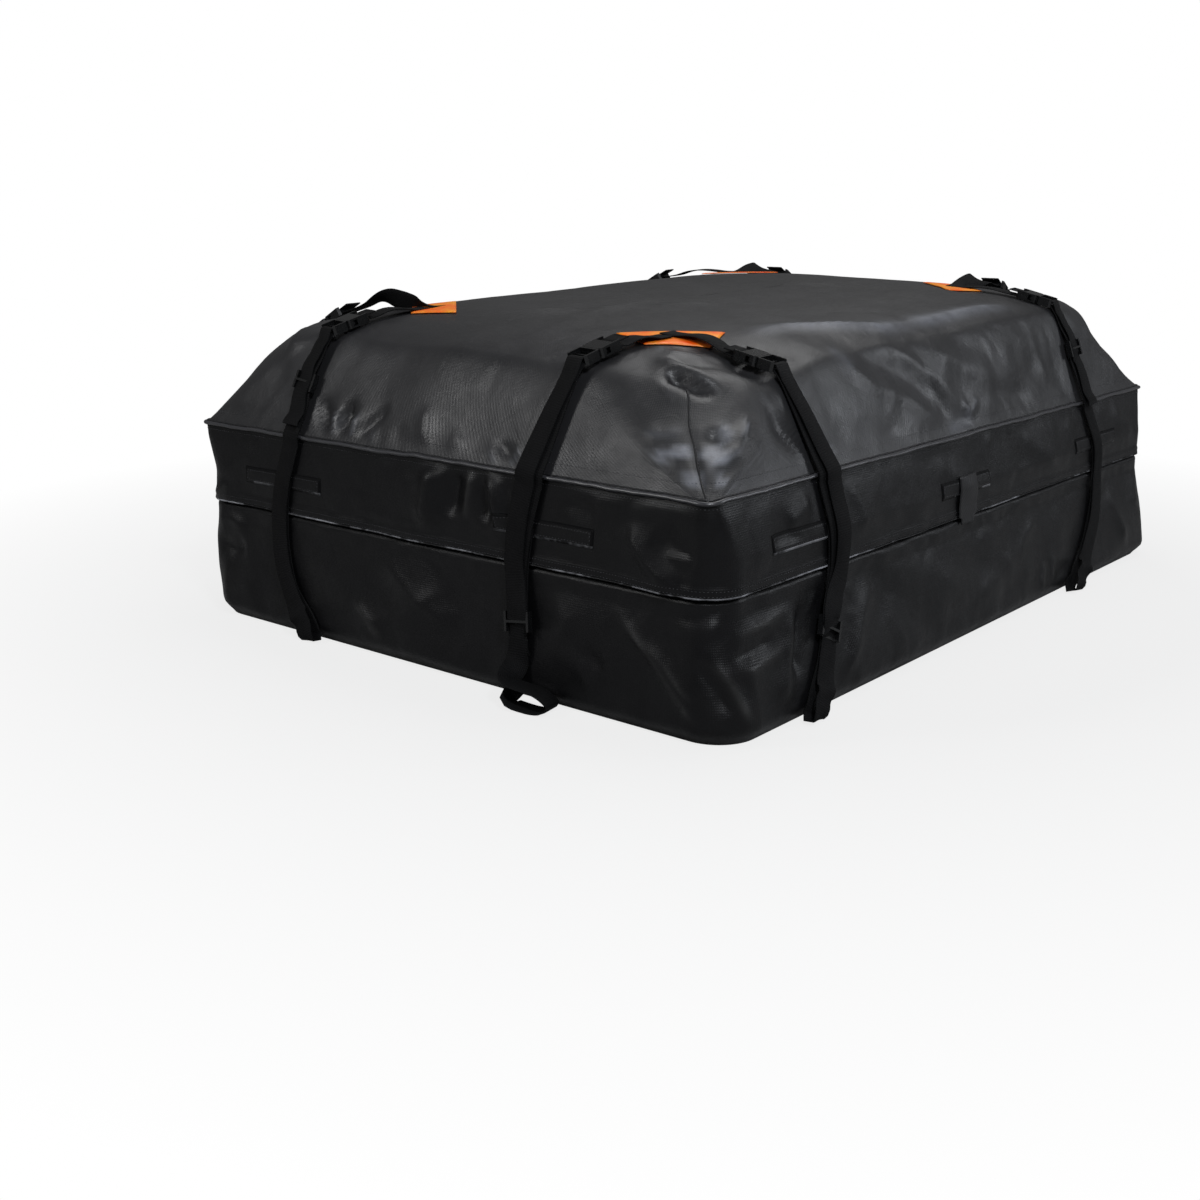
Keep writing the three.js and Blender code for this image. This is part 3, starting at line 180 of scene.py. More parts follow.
# Each fold: its line, how far it stands out, its width, and its edge, where 2 is a soft swell
# and 1 is a sharp crease.
TUB_FOLDS = (
    (((-585, -262, 148), (-604, -338, 92), (-610, -389, 43), (-596, -415, 8)), 6, 6, 1.0),
    (((-603, -330, 105), (-604, -364, 80), (-605, -401, 47)), 4, 5, 1.0),
    (((-593, -408, 99), (-581, -428, 74), (-573, -441, 43), (-561, -443, 9)), 7, 7, 1.0),
    (((-598, -396, 96), (-592, -418, 66), (-584, -436, 36)), -6, 10, 1.3),
    (((-592, -360, 128), (-592, -389, 127), (-583, -406, 130), (-565, -412, 142)), 7, 6, 1.0),
    (((-584, -352, 150), (-583, -384, 149)), 4, 6, 1.2),
    (((-581, -396, 147), (-573, -406, 142)), -5, 6, 1.3),
    (((-588, -410, 109), (-555, -426, 119), (-497, -430, 127), (-461, -430, 134)), 5.5, 6, 1.0),
    (((-585, -423, 83), (-553, -439, 82), (-508, -440, 88), (-480, -438, 98)), 5, 6, 1.0),
    (((-580, -430, 96), (-540, -436, 100), (-500, -436, 108)), -5, 8, 1.2),
    (((-452, -430, 140), (-478, -438, 94), (-496, -446, 56), (-512, -450, 17)), 8, 18, 1.5),
    (((-438, -432, 136), (-452, -440, 94), (-476, -446, 50)), -8, 12, 1.5),
    (((-601, -213, 98), (-606, -246, 74), (-606, -280, 58)), -6, 16, 1.4),
    (((-600, -190, 140), (-604, -230, 84), (-606, -262, 20)), 4, 14, 1.4),
    (((-589, 432, 134), (-592, 397, 139), (-594, 363, 130)), 9, 11, 1.1),
    (((-592, 430, 104), (-601, 390, 94), (-598, 366, 108)), -9, 13, 1.2),
    (((-600, 330, 60), (-606, 420, 34)), 5, 26, 1.4),
    (((-606, 143, 68), (-609, 107, 50), (-610, 79, 26)), 6, 8, 1.1),
    (((-598, 100, 134), (-604, 20, 90), (-606, -50, 60)), 6, 18, 1.2),
    (((-598, -40, 120), (-606, 60, 60), (-608, 180, 26)), 6, 22, 1.2),
    (((-282, -432, 128), (-318, -440, 96), (-352, -447, 53), (-384, -451, 22)), 7, 15, 1.3),
    (((-325, -430, 142), (-353, -438, 110), (-388, -446, 62)), 4, 7, 1.2),
    (((-338, -434, 130), (-366, -442, 84)), -4, 8, 1.3),
    (((199, -447, 60), (182, -452, 18)), 4, 7, 1.2),
    (((228, -447, 70), (214, -452, 22)), 4, 8, 1.2),
    (((184, -430, 122), (135, -438, 104), (108, -444, 70)), 4, 10, 1.3),
    (((-160, -436, 120), (-60, -444, 70), (60, -448, 40)), 4, 26, 1.6),
    (((-40, -440, 40), (60, -442, 70), (120, -440, 96)), 3, 20, 1.5),
    (((440, -436, 134), (470, -442, 80), (490, -448, 24)), 5, 14, 1.3),
    (((560, -430, 136), (540, -440, 80)), 4, 16, 1.4),
    (((612, -240, 136), (612, -320, 70), (612, -400, 12)), 7, 14, 1.2),
    (((612, -80, 20), (612, 60, 70), (612, 160, 136)), 6, 22, 1.3),
    (((612, -20, 130), (612, 30, 60), (612, 40, 16)), 4, 12, 1.3),
    (((612, 330, 136), (612, 390, 60), (606, 430, 16)), 7, 14, 1.2),
    (((240, 459, 134), (120, 459, 70), (-20, 456, 24)), 7, 18, 1.3),
    (((20, 459, 130), (60, 459, 60)), 4, 14, 1.3),
    (((-330, 459, 134), (-220, 459, 60), (-120, 456, 26)), 7, 18, 1.3),
    (((-480, 459, 130), (-540, 450, 60), (-580, 436, 14)), 7, 15, 1.2),
    (((400, 459, 134), (470, 456, 70), (560, 440, 16)), 7, 15, 1.2),
)
# Each strap: its side, its line up that side from the roof to the piping, as (height, place
# along the side), its corner patch on the lid, and the middle of its keeper patch.
STRAP_RUNS = {
    "left_front": (
        "left", ((0, -168), (20, -160), (60, -150), (140, -141), (213, -153), (265, -166)),
        "left_front", -178,
    ),
    "left_back": (
        "left", ((0, 212), (27, 227), (57, 262), (129, 291), (189, 283), (265, 260)),
        "left_back", 284,
    ),
    "front_left": (
        "front", ((0, -460), (22, -447), (60, -414), (142, -370), (224, -372), (265, -376)),
        "left_front", -420,
    ),
    "front_right": (
        "front", ((0, 262), (20, 284), (62, 345), (128, 402), (207, 393), (265, 378)),
        "right_front", 400,
    ),
    "right_front": ("right", ((0, -172), (265, -172)), "right_front", -172),
    "right_back": ("right", ((0, 247), (265, 247)), "right_back", 247),
    "back_left": ("back", ((0, -415), (265, -415)), "left_back", -415),
    "back_right": ("back", ((0, 322), (265, 322)), "right_back", 322),
}
SIDES = {
    "left": (np.array([-1.0, 0, 0]), np.array([0.0, 1, 0])),
    "right": (np.array([1.0, 0, 0]), np.array([0.0, 1, 0])),
    "front": (np.array([0.0, -1, 0]), np.array([1.0, 0, 0])),
    "back": (np.array([0.0, 1, 0]), np.array([1.0, 0, 0])),
}


def strap_place(name, z):
    line = STRAP_RUNS[name][1]
    return np.interp(z, [p[0] for p in line], [p[1] for p in line])


def free_of_straps(points, outs, near, far):
    """0 where a strap presses the side's cloth flat, 1 where the cloth is free."""
    free = np.ones(len(points))
    for name, (side, *_) in STRAP_RUNS.items():
        out, along = SIDES[side]
        away = np.abs(points @ along - strap_place(name, points[:, 2]))
        facing = smooth(outs @ out, 0.5, 0.9)
        free = np.minimum(free, 1 - facing * (1 - smooth(away, near, far)))
    return free


def side_bulge(points, outs, folds):
    """How far the side's cloth stands out: a swell between the straps, folds and crumples."""
    z = points[:, 2]
    free = free_of_straps(points, outs, 24, 60)
    wide = free_of_straps(points, outs, 20, 220)
    corner = smooth(np.abs(outs[:, 0] * outs[:, 1]), 0, 0.1)
    rough = crumple(points * (1, 1, 1.6), 130, 3) * 3 + crushed(points * (1, 1, 1.3), 95, 7) * 3.4
    rough += crushed(points * (1, 1, 0.7), 38, 5) * (0.8 + 1.0 * smooth(z, 90, 140) + 0.5 * corner)
    swell = wide * 3 * np.sin(np.pi * np.clip(z / 150, 0, 1))
    return swell + free * (fold_height(points, folds) + rough)


def crest_whitening_and_highlight(points, folds):
    """How pale the coating is painted along the crests of the sharper folds: partly creases
    whitening the coating, partly painted highlight where the crests catch the light.
    """
    crests = [(line, height / 9, width * 0.42, 1.3) for line, height, width, edge in folds
              if height > 0 and edge <= 1.3 and width < 10]
    return np.clip(fold_height(points, crests), 0, 1)


def new_piece(name, mesh):
    piece = bpy.data.objects.new(name, mesh)
    bpy.context.collection.objects.link(piece)
    return piece


def finish_solid(node, finish):
    """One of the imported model's own pieces, kept as it is, in its finish."""
    cad_nodes[node].data.materials.clear()
    cad_nodes[node].data.materials.append(finish)


def cloth_sheet(name, rows, closed=True, wear_and_highlight=None):
    """A mesh from rows of points in mm, with the cloth's own length as its UV, in metres, and
    how pale the coating is painted at each point, for whitened creases and painted highlights."""
    rows = np.array(rows)
    count, columns = rows.shape[:2]
    turn = rows[:, list(range(columns)) + [0]] if closed else rows
    width = np.linalg.norm(np.diff(turn, axis=1), axis=2)
    down = np.linalg.norm(np.diff(rows, axis=0), axis=2)
    u = np.concatenate([np.zeros((1, 1)), np.cumsum(width[count // 2])[None]], 1) * MM
    v = np.concatenate([[0], np.cumsum(down.mean(1))]) * MM
    i, k = np.meshgrid(np.arange(count - 1), np.arange(turn.shape[1] - 1), indexing="ij")
    following = (k + 1) % columns
    quads = np.stack([i * columns + k, i * columns + following,
                      (i + 1) * columns + following, (i + 1) * columns + k], -1)
    around = ((k, i), (k + 1, i), (k + 1, i + 1), (k, i + 1))
    corners = np.stack([np.stack([u[0][a], v[b]], -1) for a, b in around], -2)
    mesh = bpy.data.meshes.new(name)
    mesh.from_pydata((rows.reshape(-1, 3) * MM).tolist(), [], quads.reshape(-1, 4).tolist())
    layer = mesh.uv_layers.new(name="cloth")
    layer.data.foreach_set("uv", corners.reshape(-1).astype(np.float32))
    if wear_and_highlight is not None:
        values = np.concatenate(wear_and_highlight).astype(np.float32)
        mesh.attributes.new("wear_and_highlight", "FLOAT", "POINT").data.foreach_set("value", values)
    mesh.shade_smooth()
    return new_piece(name, mesh)


def linear(colour):
    """An sRGB hex colour as linear values."""
    parts = [int(colour[i:i + 2], 16) / 255 for i in (1, 3, 5)]
    return [c / 12.92 if c <= 0.04045 else ((c + 0.055) / 1.055) ** 2.4 for c in parts] + [1.0]


def add_node(tree, kind, inputs=(), **settings):
    """One node of a material, with its settings, and its inputs as values or other sockets."""
    node = tree.nodes.new(kind)
    for key, value in settings.items():
        setattr(node, key, value)
    for key, value in dict(inputs).items():
        if isinstance(value, bpy.types.NodeSocket):
            tree.links.new(value, node.inputs[key])
        else:
            node.inputs[key].default_value = value
    return node


def new_finish(name, **values):
    """A material with its Principled shader, whose values are set on the shader itself."""
    material = bpy.data.materials.new(name)
    material.use_nodes = True
    shader = material.node_tree.nodes["Principled BSDF"]
    for key, value in values.items():
        shader.inputs[key.replace("_", " ")].default_value = value
    return material, material.node_tree, shader


def band_scale(pitch):
    """The scale at which a wave texture's bands come about once in a pitch in mm."""
    return 1000 / pitch / 6.2832 * 2


def tarpaulin(name, dark, light, pale, roughness, gloss_level):
    """PVC-coated polyester tarpaulin, calendered: a semi-gloss skin over a woven base cloth,
    whose threads of 1 mm show faintly, drawn at 2.6 mm so that they can be seen."""
    material, tree, shader = new_finish(name, IOR=1.5)
    shader.inputs["Specular IOR Level"].default_value = gloss_level
    place = add_node(tree, "ShaderNodeTexCoord").outputs["Object"]
    cloth = add_node(tree, "ShaderNodeUVMap", uv_map="cloth").outputs["UV"]
    cloud = add_node(tree, "ShaderNodeTexNoise",
                     {"Vector": place, "Scale": 9, "Detail": 5, "Roughness": 0.6})
    tone = add_node(tree, "ShaderNodeMixRGB",
                    {"Fac": cloud.outputs["Fac"], "Color1": linear(dark), "Color2": linear(light)})
    blotches = add_node(tree, "ShaderNodeTexNoise",
                    {"Vector": place, "Scale": 26, "Detail": 4, "Roughness": 0.65})
    broken = add_node(tree, "ShaderNodeMapRange",
                      {"Value": blotches.outputs["Fac"], "From Min": 0.3, "From Max": 0.6,
                       "To Min": 0.45, "To Max": 1.0})
    # Painted highlight, partly whitened creases: the mesh's own mask mixes the pale colour into the
    # cloth, broken up in patches by noise.
    wear_and_highlight = add_node(tree, "ShaderNodeAttribute", attribute_name="wear_and_highlight").outputs["Fac"]
    wear_and_highlight_mask = add_node(tree, "ShaderNodeMath", {0: wear_and_highlight, 1: broken.outputs["Result"]},
                       operation="MULTIPLY")
    skin = add_node(tree, "ShaderNodeMixRGB",
                    {"Fac": wear_and_highlight_mask.outputs["Value"], "Color1": tone.outputs["Color"],
                     "Color2": linear(pale)})
    tree.links.new(skin.outputs["Color"], shader.inputs["Base Color"])
    gloss = add_node(tree, "ShaderNodeMapRange",
                     {"Value": blotches.outputs["Fac"], "From Min": 0.3, "From Max": 0.7,
                      "To Min": roughness - 0.07, "To Max": roughness + 0.08})
    tree.links.new(gloss.outputs["Result"], shader.inputs["Roughness"])
    threads = [add_node(tree, "ShaderNodeTexWave",
                        {"Vector": cloth, "Scale": band_scale(2.6), "Distortion": 0.6, "Detail": 1},
                        bands_direction=way).outputs["Fac"] for way in ("X", "Y")]
    weave = add_node(tree, "ShaderNodeMath", {0: threads[0], 1: threads[1]}, operation="MULTIPLY")
    wrinkle = add_node(tree, "ShaderNodeTexNoise",
                       {"Vector": place, "Scale": 44, "Detail": 7, "Roughness": 0.66,
                        "Distortion": 0.8})
    crease = add_node(tree, "ShaderNodeTexNoise",
                      {"Vector": place, "Scale": 11, "Detail": 3.5, "Roughness": 0.5,
                       "Distortion": 0.5}, noise_type="RIDGED_MULTIFRACTAL")
    creased = add_node(tree, "ShaderNodeBump",
                       {"Height": crease.outputs["Fac"], "Strength": 0.24, "Distance": 0.002})
    wrinkled = add_node(tree, "ShaderNodeBump",
                        {"Height": wrinkle.outputs["Fac"], "Strength": 0.5, "Distance": 0.0014,
                         "Normal": creased.outputs["Normal"]})
    woven = add_node(tree, "ShaderNodeBump",
                     {"Height": weave.outputs["Value"], "Strength": 0.4, "Distance": 0.0003,
                      "Normal": wrinkled.outputs["Normal"]})
    tree.links.new(woven.outputs["Normal"], shader.inputs["Normal"])
    return material


# Painted shade: the tub, band and patches take a darker copy of the tarpaulin than the lid top, for
# sides turned away from the light; its pale colour is painted highlight, partly whitened creases.
shaded_copy_tarpaulin = tarpaulin("pvc_tarpaulin_painted_shade", "#0a0a0b", "#111113", "#464645", 0.42, 0.24)
wall_rows, wall_whitening_and_highlight = [], []
for z in np.concatenate([[0.6, 2.5, 6, 11, 17], np.arange(22, 146, 3.4), np.arange(147, 176, 2.6)]):
    turned = 15 * (1 - smooth(z, -6, TURN_Z)) + 21 * smooth(z, 153, 171)
    points, outs = side_ring(max(z, TURN_Z), turned, z)
    bulge = side_bulge(points, outs, TUB_FOLDS)
    bulge *= smooth(z, 2, 26) * (1 - smooth(z, 146, 164))
    wall_rows.append(points + outs * bulge[:, None])
    # Painted highlight, partly whitened creases, along the crests of the tub's folds, off the
    # straps and below the hem.
    pale = crest_whitening_and_highlight(points, TUB_FOLDS) * free_of_straps(points, outs, 14, 24)
    wall_whitening_and_highlight.append(pale * (1 - smooth(z, 150, 160)))
tub_wall = cloth_sheet("tub_wall", wall_rows, wear_and_highlight=wall_whitening_and_highlight)
tub_wall.data.materials.append(shaded_copy_tarpaulin)
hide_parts("lower_wall")
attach(tub_wall, "bag")
finish_solid("base_panel", shaded_copy_tarpaulin)

# Lid band. The upper wall of the same tarpaulin, from the piping down to a folded and stitched
# hem that hangs free as the storm flap over the zip. It drapes in small folds near the straps.
HEM_Z, HEM_FOLD, PIPING_Z = 160, 13, 265
BAND_FOLDS = (
    (((-588, 20, 272), (-593, 0, 250), (-598, 4, 214), (-600, 14, 176)), 15, 20, 1.7),
    (((-592, -38, 262), (-595, -36, 240), (-598, -30, 196)), -9, 12, 1.3),
    (((-590, -59, 266), (-594, -63, 244), (-598, -55, 200)), 6, 9, 1.2),
    (((-592, -80, 262), (-595, -88, 234), (-598, -94, 196)), -10, 10, 1.4),
    (((-590, -84, 270), (-596, -102, 238), (-599, -118, 196)), 12, 13, 1.5),
    (((-590, -118, 258), (-596, -134, 226)), -4, 8, 1.4),
    (((-598, 150, 188), (-600, 60, 180), (-600, -20, 176)), 3, 14, 1.5),
    (((-598, 330, 240), (-598, 390, 214), (-596, 430, 196)), 4, 16, 1.4),
    (((-598, 400, 180), (-592, 434, 172)), 5, 9, 1.2),
    (((-590, -191, 268), (-593, -230, 258), (-594, -274, 254), (-591, -320, 262)), 5, 11, 1.3),
    (((-592, -204, 244), (-594, -260, 236)), -4, 12, 1.5),
    (((-592, -298, 248), (-592, -324, 254), (-592, -362, 257), (-592, -396, 258)), 6, 8, 1.2),
    (((-593, -304, 236), (-595, -313, 210), (-597, -332, 190), (-598, -351, 178),
      (-596, -378, 170)), 9, 13, 1.3),
    (((-592, -340, 232), (-594, -362, 210), (-592, -396, 200)), -7, 20, 1.6),
    (((-500, -426, 214), (-440, -428, 190)), -4, 22, 1.6),
    (((-462, -424, 218), (-428, -422, 234), (-404, -416, 250)), 6, 11, 1.3),
    (((-330, -416, 256), (-300, -424, 214), (-296, -428, 180)), 4, 18, 1.4),
    (((-120, -416, 250), (-60, -424, 220), (0, -426, 190)), 4, 22, 1.4),
    (((47, -412, 262), (55, -415, 248)), 4, 6, 1.2),
    (((140, -416, 256), (190, -424, 222), (260, -426, 196)), 4, 20, 1.4),
    (((300, -416, 250), (320, -424, 206)), 3, 12, 1.4),
    (((470, -416, 256), (500, -424, 226), (560, -426, 206)), 5, 14, 1.3),
    (((612, -60, 256), (616, -20, 220), (616, 40, 190)), 7, 14, 1.3),
    (((616, 60, 260), (618, 100, 220), (616, 150, 186)), 5, 12, 1.3),
    (((616, 330, 250), (616, 380, 206)), 6, 14, 1.3),
    (((-250, 460, 254), (-200, 460, 220), (-140, 460, 190)), 7, 14, 1.3),
    (((80, 460, 256), (130, 460, 210), (150, 460, 180)), 6, 13, 1.3),
    (((-60, 460, 256), (-20, 460, 200)), 4, 12, 1.3),
)


def band_points(z, inset, height=None):
    points, outs = side_ring(z, inset, height)
    free = free_of_straps(points, outs, 22, 50)
    swell = crumple(points * (1, 1, 0.8), 130, 11) * 2.6 + crushed(points * (1, 1, 1.2), 80, 13) * 2
    swell += crushed(points * (1, 1, 0.6), 30, 15) * 0.7
    swell += fold_height(points, BAND_FOLDS)
    flutter = crumple(points * (1, 1, 0.2), 75, 17) * 2.6 * (1 - smooth(z, HEM_Z, 200))
    seam = smooth(PIPING_Z - z, 0, 22)
    pucker = crumple(points * (1, 1, 0.3), 16, 19) * 0.8 * np.exp(-(PIPING_Z - z) / 12)
    moved = free * (swell * seam + flutter) + pucker
    room_for_pulls = -0.8 - 20 * smooth(z, 200, 226)
    return points + outs * np.maximum(moved, room_for_pulls)[:, None]


band_rows, band_whitening_and_highlight = [], []
for z in np.concatenate([[264.2, 262, 258.5], np.arange(254.5, HEM_Z + HEM_FOLD + 2, -4)]):
    band_rows.append(band_points(z, 0))
    # Painted highlight, partly whitened creases, along the crests of the band's folds.
    band_whitening_and_highlight.append(crest_whitening_and_highlight(side_ring(z)[0], BAND_FOLDS) * 0.8)
hem = [(HEM_FOLD + 0.8, 0), (HEM_FOLD - 0.8, -0.7), (9, -1.1), (4, -1.2), (1, -0.9), (0, 0.4),
       (1, 1.7), (4, 2.2), (24, 2.4), (32, 2.4)]
for rise, inset in hem:
    band_rows.append(band_points(HEM_Z + rise, inset))
    band_whitening_and_highlight.append(band_whitening_and_highlight[-1])
lid_band = cloth_sheet("lid_band_and_storm_flap", band_rows[::-1], wear_and_highlight=band_whitening_and_highlight[::-1])
lid_band.data.materials.append(shaded_copy_tarpaulin)
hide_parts("lid_band")
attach(lid_band, "bag")

# Lid top. One sheet of the same tarpaulin for the top and the sloped sides, with a dart sewn
# at the near corner. The load holds it up; the straps pull its shoulders down.
SHOULDER_RADII = (190, 190, 115, 190)
SLOPE_RUN, SHOULDER_Z, TOP_Z, SHOULDER_BLEND = 56, 392, 430, 44
LID_HALF_LENGTH, LID_HALF_WIDTH, PIPING_CORNER, LID_LEAN = 603, 434, 16, (12, 26)
# Where the load presses the lid up or leaves it sunk: the middle, the height and the width.
LID_SWELLS = (
    ((-387, -324), -15, 62),
    ((-520, -320), -7, 50),
    ((470, -300), 5, 60),
)


def lid_ring(inset):
    settle = 1 - smooth(inset, 0, SLOPE_RUN * 2)
    rounded = 1 - math.exp(-inset / 36)
    half_x, half_y = LID_HALF_LENGTH - inset, LID_HALF_WIDTH - inset
    widest = max(half_y - 6, half_y * 0.6)
    radii = [min(PIPING_CORNER + (r - PIPING_CORNER) * rounded, widest) for r in SHOULDER_RADII]
    return cloth_ring(half_x, half_y, radii, [lean * settle for lean in LID_LEAN])


def lid_profile(inset):
    """The lid's height at an inset from the piping: a slope that rounds over into the crown."""
    slope = PIPING_Z + 0.6 + inset * (SHOULDER_Z - PIPING_Z) / SLOPE_RUN
    across = min(max((inset - SLOPE_RUN) / (LID_HALF_WIDTH - SLOPE_RUN), -0.3), 1)
    crown = TOP_Z - (TOP_Z - SHOULDER_Z) * (1 - across) ** 4.5
    share = min(max(0.5 + 0.5 * (crown - slope) / SHOULDER_BLEND, 0), 1)
    return crown + (slope - crown) * share - SHOULDER_BLEND * share * (1 - share)


LID_FOLDS = (
    (((-567, 232, 320), (-578, 214, 294), (-588, 197, 268)), -10, 8, 1.2),
    (((-569, 173, 320), (-579, 175, 292), (-588, 169, 268)), -14, 8, 1.1),
    (((-568, 100, 318), (-578, 127, 294), (-588, 144, 268)), -9, 7, 1.1),
    (((-573, 196, 306), (-586, 184, 272)), 6, 7, 1.3),
    (((-574, 152, 304), (-586, 154, 272)), 6, 7, 1.3),
    (((-578, 120, 288), (-587, 112, 270)), 4, 6, 1.3),
    (((-584, -92, 284), (-582, -106, 286), (-586, -130, 276)), -8, 6, 1.2),
    (((-586, -80, 290), (-590, -100, 270)), 6, 7, 1.2),
    (((-588, -120, 270), (-578, -134, 292)), 5, 6, 1.2),
    (((-583, 20, 272), (-572, 30, 300), (-566, 34, 326)), 4, 12, 1.4),
    (((-583, -20, 272), (-574, -34, 298)), 4, 10, 1.4),
    (((-580, 70, 272), (-574, 74, 296)), -4, 10, 1.4),
    (((-546, 303, 362), (-528, 320, 381), (-486, 340, 392)), 7, 11, 1.2),
    (((-560, 300, 330), (-548, 330, 340), (-520, 372, 344)), -4, 18, 1.5),
    (((-580, 380, 280), (-540, 390, 320)), 4, 14, 1.4),
    (((-456, -238, 396), (-438, -224, 401), (-418, -219, 404), (-390, -231, 405),
      (-361, -246, 402)), 7, 6, 1.1),
    (((-458, -240, 396), (-441, -257, 395), (-424, -282, 391)), 8, 5, 1.0),
    (((-434, -240, 399), (-412, -256, 398), (-394, -272, 394)), -9, 6, 1.1),
    (((-466, -252, 394), (-460, -273, 390), (-454, -290, 386), (-443, -311, 380)), -11, 5, 1.1),
    (((-464, -242, 394), (-479, -274, 384), (-477, -302, 377), (-473, -320, 369),
      (-466, -340, 358)), 15, 5.5, 1.0),
    (((-499, -272, 379), (-492, -292, 374), (-487, -310, 367), (-476, -332, 357)), -28, 9, 2.4),
    (((-508, -274, 374), (-512, -292, 364), (-504, -310, 356), (-490, -328, 350),
      (-472, -342, 352)), 8, 5, 1.1),
    (((-562, -292, 326), (-554, -316, 328), (-536, -334, 328)), 7, 7, 1.1),
    (((-572, -300, 302), (-564, -322, 304), (-550, -344, 304)), 5, 8, 1.2),
    (((-566, -334, 304), (-551, -351, 305)), 4, 6, 1.2),
    (((-572, -350, 292), (-584, -330, 276)), -4, 9, 1.3),
    (((-472, -362, 342), (-480, -373, 330), (-494, -377, 321), (-504, -369, 319), (-507, -354, 327),
      (-508, -342, 338)), 8, 5, 1.0),
    (((-518, -354, 328), (-528, -364, 312), (-522, -378, 302)), -7, 8, 1.2),
    (((-536, -352, 312), (-524, -372, 304), (-506, -384, 306)), 6, 5, 1.1),
    (((-568, -377, 285), (-548, -379, 293), (-526, -382, 301), (-494, -382, 312)), 6, 6, 1.1),
    (((-561, -385, 284), (-539, -389, 290), (-515, -392, 296)), -5, 6, 1.2),
    (((-574, -388, 276), (-558, -398, 276), (-536, -406, 269)), 4, 7, 1.2),
    (((-386, -282, 394), (-412, -326, 376), (-424, -356, 350), (-414, -384, 318),
      (-394, -402, 284)), -13, 15, 1.5),
    (((-378, -397, 296), (-363, -404, 276), (-349, -403, 279)), 6, 6, 1.1),
    (((-352, -400, 288), (-338, -405, 274)), -5, 6, 1.2),
    (((-360, -300, 396), (-350, -330, 384), (-330, -372, 344)), 5, 12, 1.3),
    (((-330, -262, 402), (-243, -264, 410), (-174, -294, 408), (-103, -316, 405), (-7, -322, 406)),
     8, 13, 1.1),
    (((-60, -320, 407), (120, -318, 411), (290, -322, 411)), 8, 13, 1.1),
    (((-150, -345, 398), (-88, -371, 365), (-34, -387, 325), (12, -397, 290)), 5, 14, 1.1),
    (((-270, -345, 394), (-209, -377, 345), (-127, -389, 319), (-50, -403, 277)), 5, 11, 1.2),
    (((-254, -338, 400), (-180, -364, 378), (-108, -380, 345), (-40, -397, 294)), -9, 30, 1.5),
    (((-80, -357, 388), (38, -379, 343), (154, -391, 310)), 6, 30, 1.3),
    (((68, -388, 314), (150, -395, 300), (217, -402, 280)), -5, 20, 1.8),
    (((-4, -392, 308), (14, -398, 290), (46, -392, 308)), 6, 6, 1.1),
    (((-50, -404, 275), (2, -402, 282), (38, -405, 274)), -6, 7, 1.2),
    (((250, -345, 398), (262, -370, 350), (280, -395, 300)), 4, 14, 1.3),
    (((400, -340, 400), (410, -366, 350)), 5, 12, 1.3),
    (((470, -330, 388), (510, -360, 330), (560, -392, 290)), 5, 16, 1.3),
    (((-330, -60, 428), (-60, -100, 431), (230, -130, 434)), -3, 60, 2),
    (((-250, 120, 428), (40, 150, 436), (300, 160, 440)), -3, 70, 2),
    (((-480, -60, 412), (-300, -20, 420), (-60, 40, 430)), 3, 22, 1.5),
    (((-460, 40, 412), (-240, 60, 424), (0, 110, 432)), 3, 24, 1.5),
    (((-100, -200, 430), (160, -230, 430), (420, -180, 428)), 3, 24, 1.5),
    (((-380, 40, 418), (-200, -40, 426), (20, -60, 432)), 2.5, 18, 1.5),
    (((590, -60, 300), (560, -40, 350)), 6, 13, 1.3),
    (((596, 10, 290), (566, 40, 350), (520, 60, 392)), 6, 13, 1.3),
    (((590, 80, 300), (556, 100, 360)), -7, 16, 1.4),
    (((580, -260, 320), (540, -280, 370)), 6, 13, 1.3),
    (((-200, 446, 300), (-180, 410, 360), (-150, 370, 400)), 6, 14, 1.3),
    (((-60, 446, 300), (-40, 400, 370)), -7, 16, 1.4),
    (((40, 446, 300), (60, 410, 360)), 6, 14, 1.3),
    (((180, 446, 290), (210, 400, 370)), 5, 14, 1.3),
)
# Painted highlights on the lid: pale streaks beside the near dart and along the shoulders, where
# those folds would catch the light. Each: a line, how pale, its width and its edge.
LID_PAINTED_HIGHLIGHTS = (
    (((-584, -383, 280), (-571, -367, 296)), 0.7, 13, 4),
    (((-566, -352, 303), (-556, -338, 318)), 0.85, 13, 5),
    (((-572, -340, 300), (-568, -318, 305)), 0.6, 9, 4),
    (((-552, -372, 298), (-540, -372, 306), (-520, -380, 308)), 0.9, 13, 5),
    (((-566, -392, 280), (-548, -398, 284)), 0.75, 8, 4),
    (((-522, -368, 316), (-507, -366, 322), (-500, -352, 334)), 0.65, 7, 3),
    (((-330, -262, 402), (-243, -264, 410), (-174, -294, 408), (-103, -316, 405), (-7, -322, 406)),
     0.6, 17, 2),
    (((-60, -320, 407), (120, -318, 411), (290, -322, 411)), 0.6, 15, 2),
    (((-262, -338, 396), (-236, -362, 362)), 0.4, 12, 1.5),
    (((-349, -396, 290), (-338, -405, 274)), 0.7, 7, 2),
    (((-60, -404, 275), (30, -402, 282)), 0.4, 8, 1.6),
)
NEAR_DART = ((-589, -402, 266), (-571, -380, 285), (-545, -352, 308), (-531, -335, 326),
             (-511, -319, 347), (-500, -308, 360))
PATCH_MIDDLES = {
    "left_front": (-400, -215),
    "left_back": (-385, 205),
    "right_front": (345, -200),
    "right_back": (362, 222),
}
PATCH_FAR, PATCH_NEAR, PATCH_DEPTH, PATCH_FLAT_HALF = 132, 78, 60, 60


def corner_way(x, y):
    """The level direction out over the lid's corner that a place lies towards."""
    return np.array([math.copysign(math.sqrt(0.5), x), math.copysign(math.sqrt(0.5), y)])


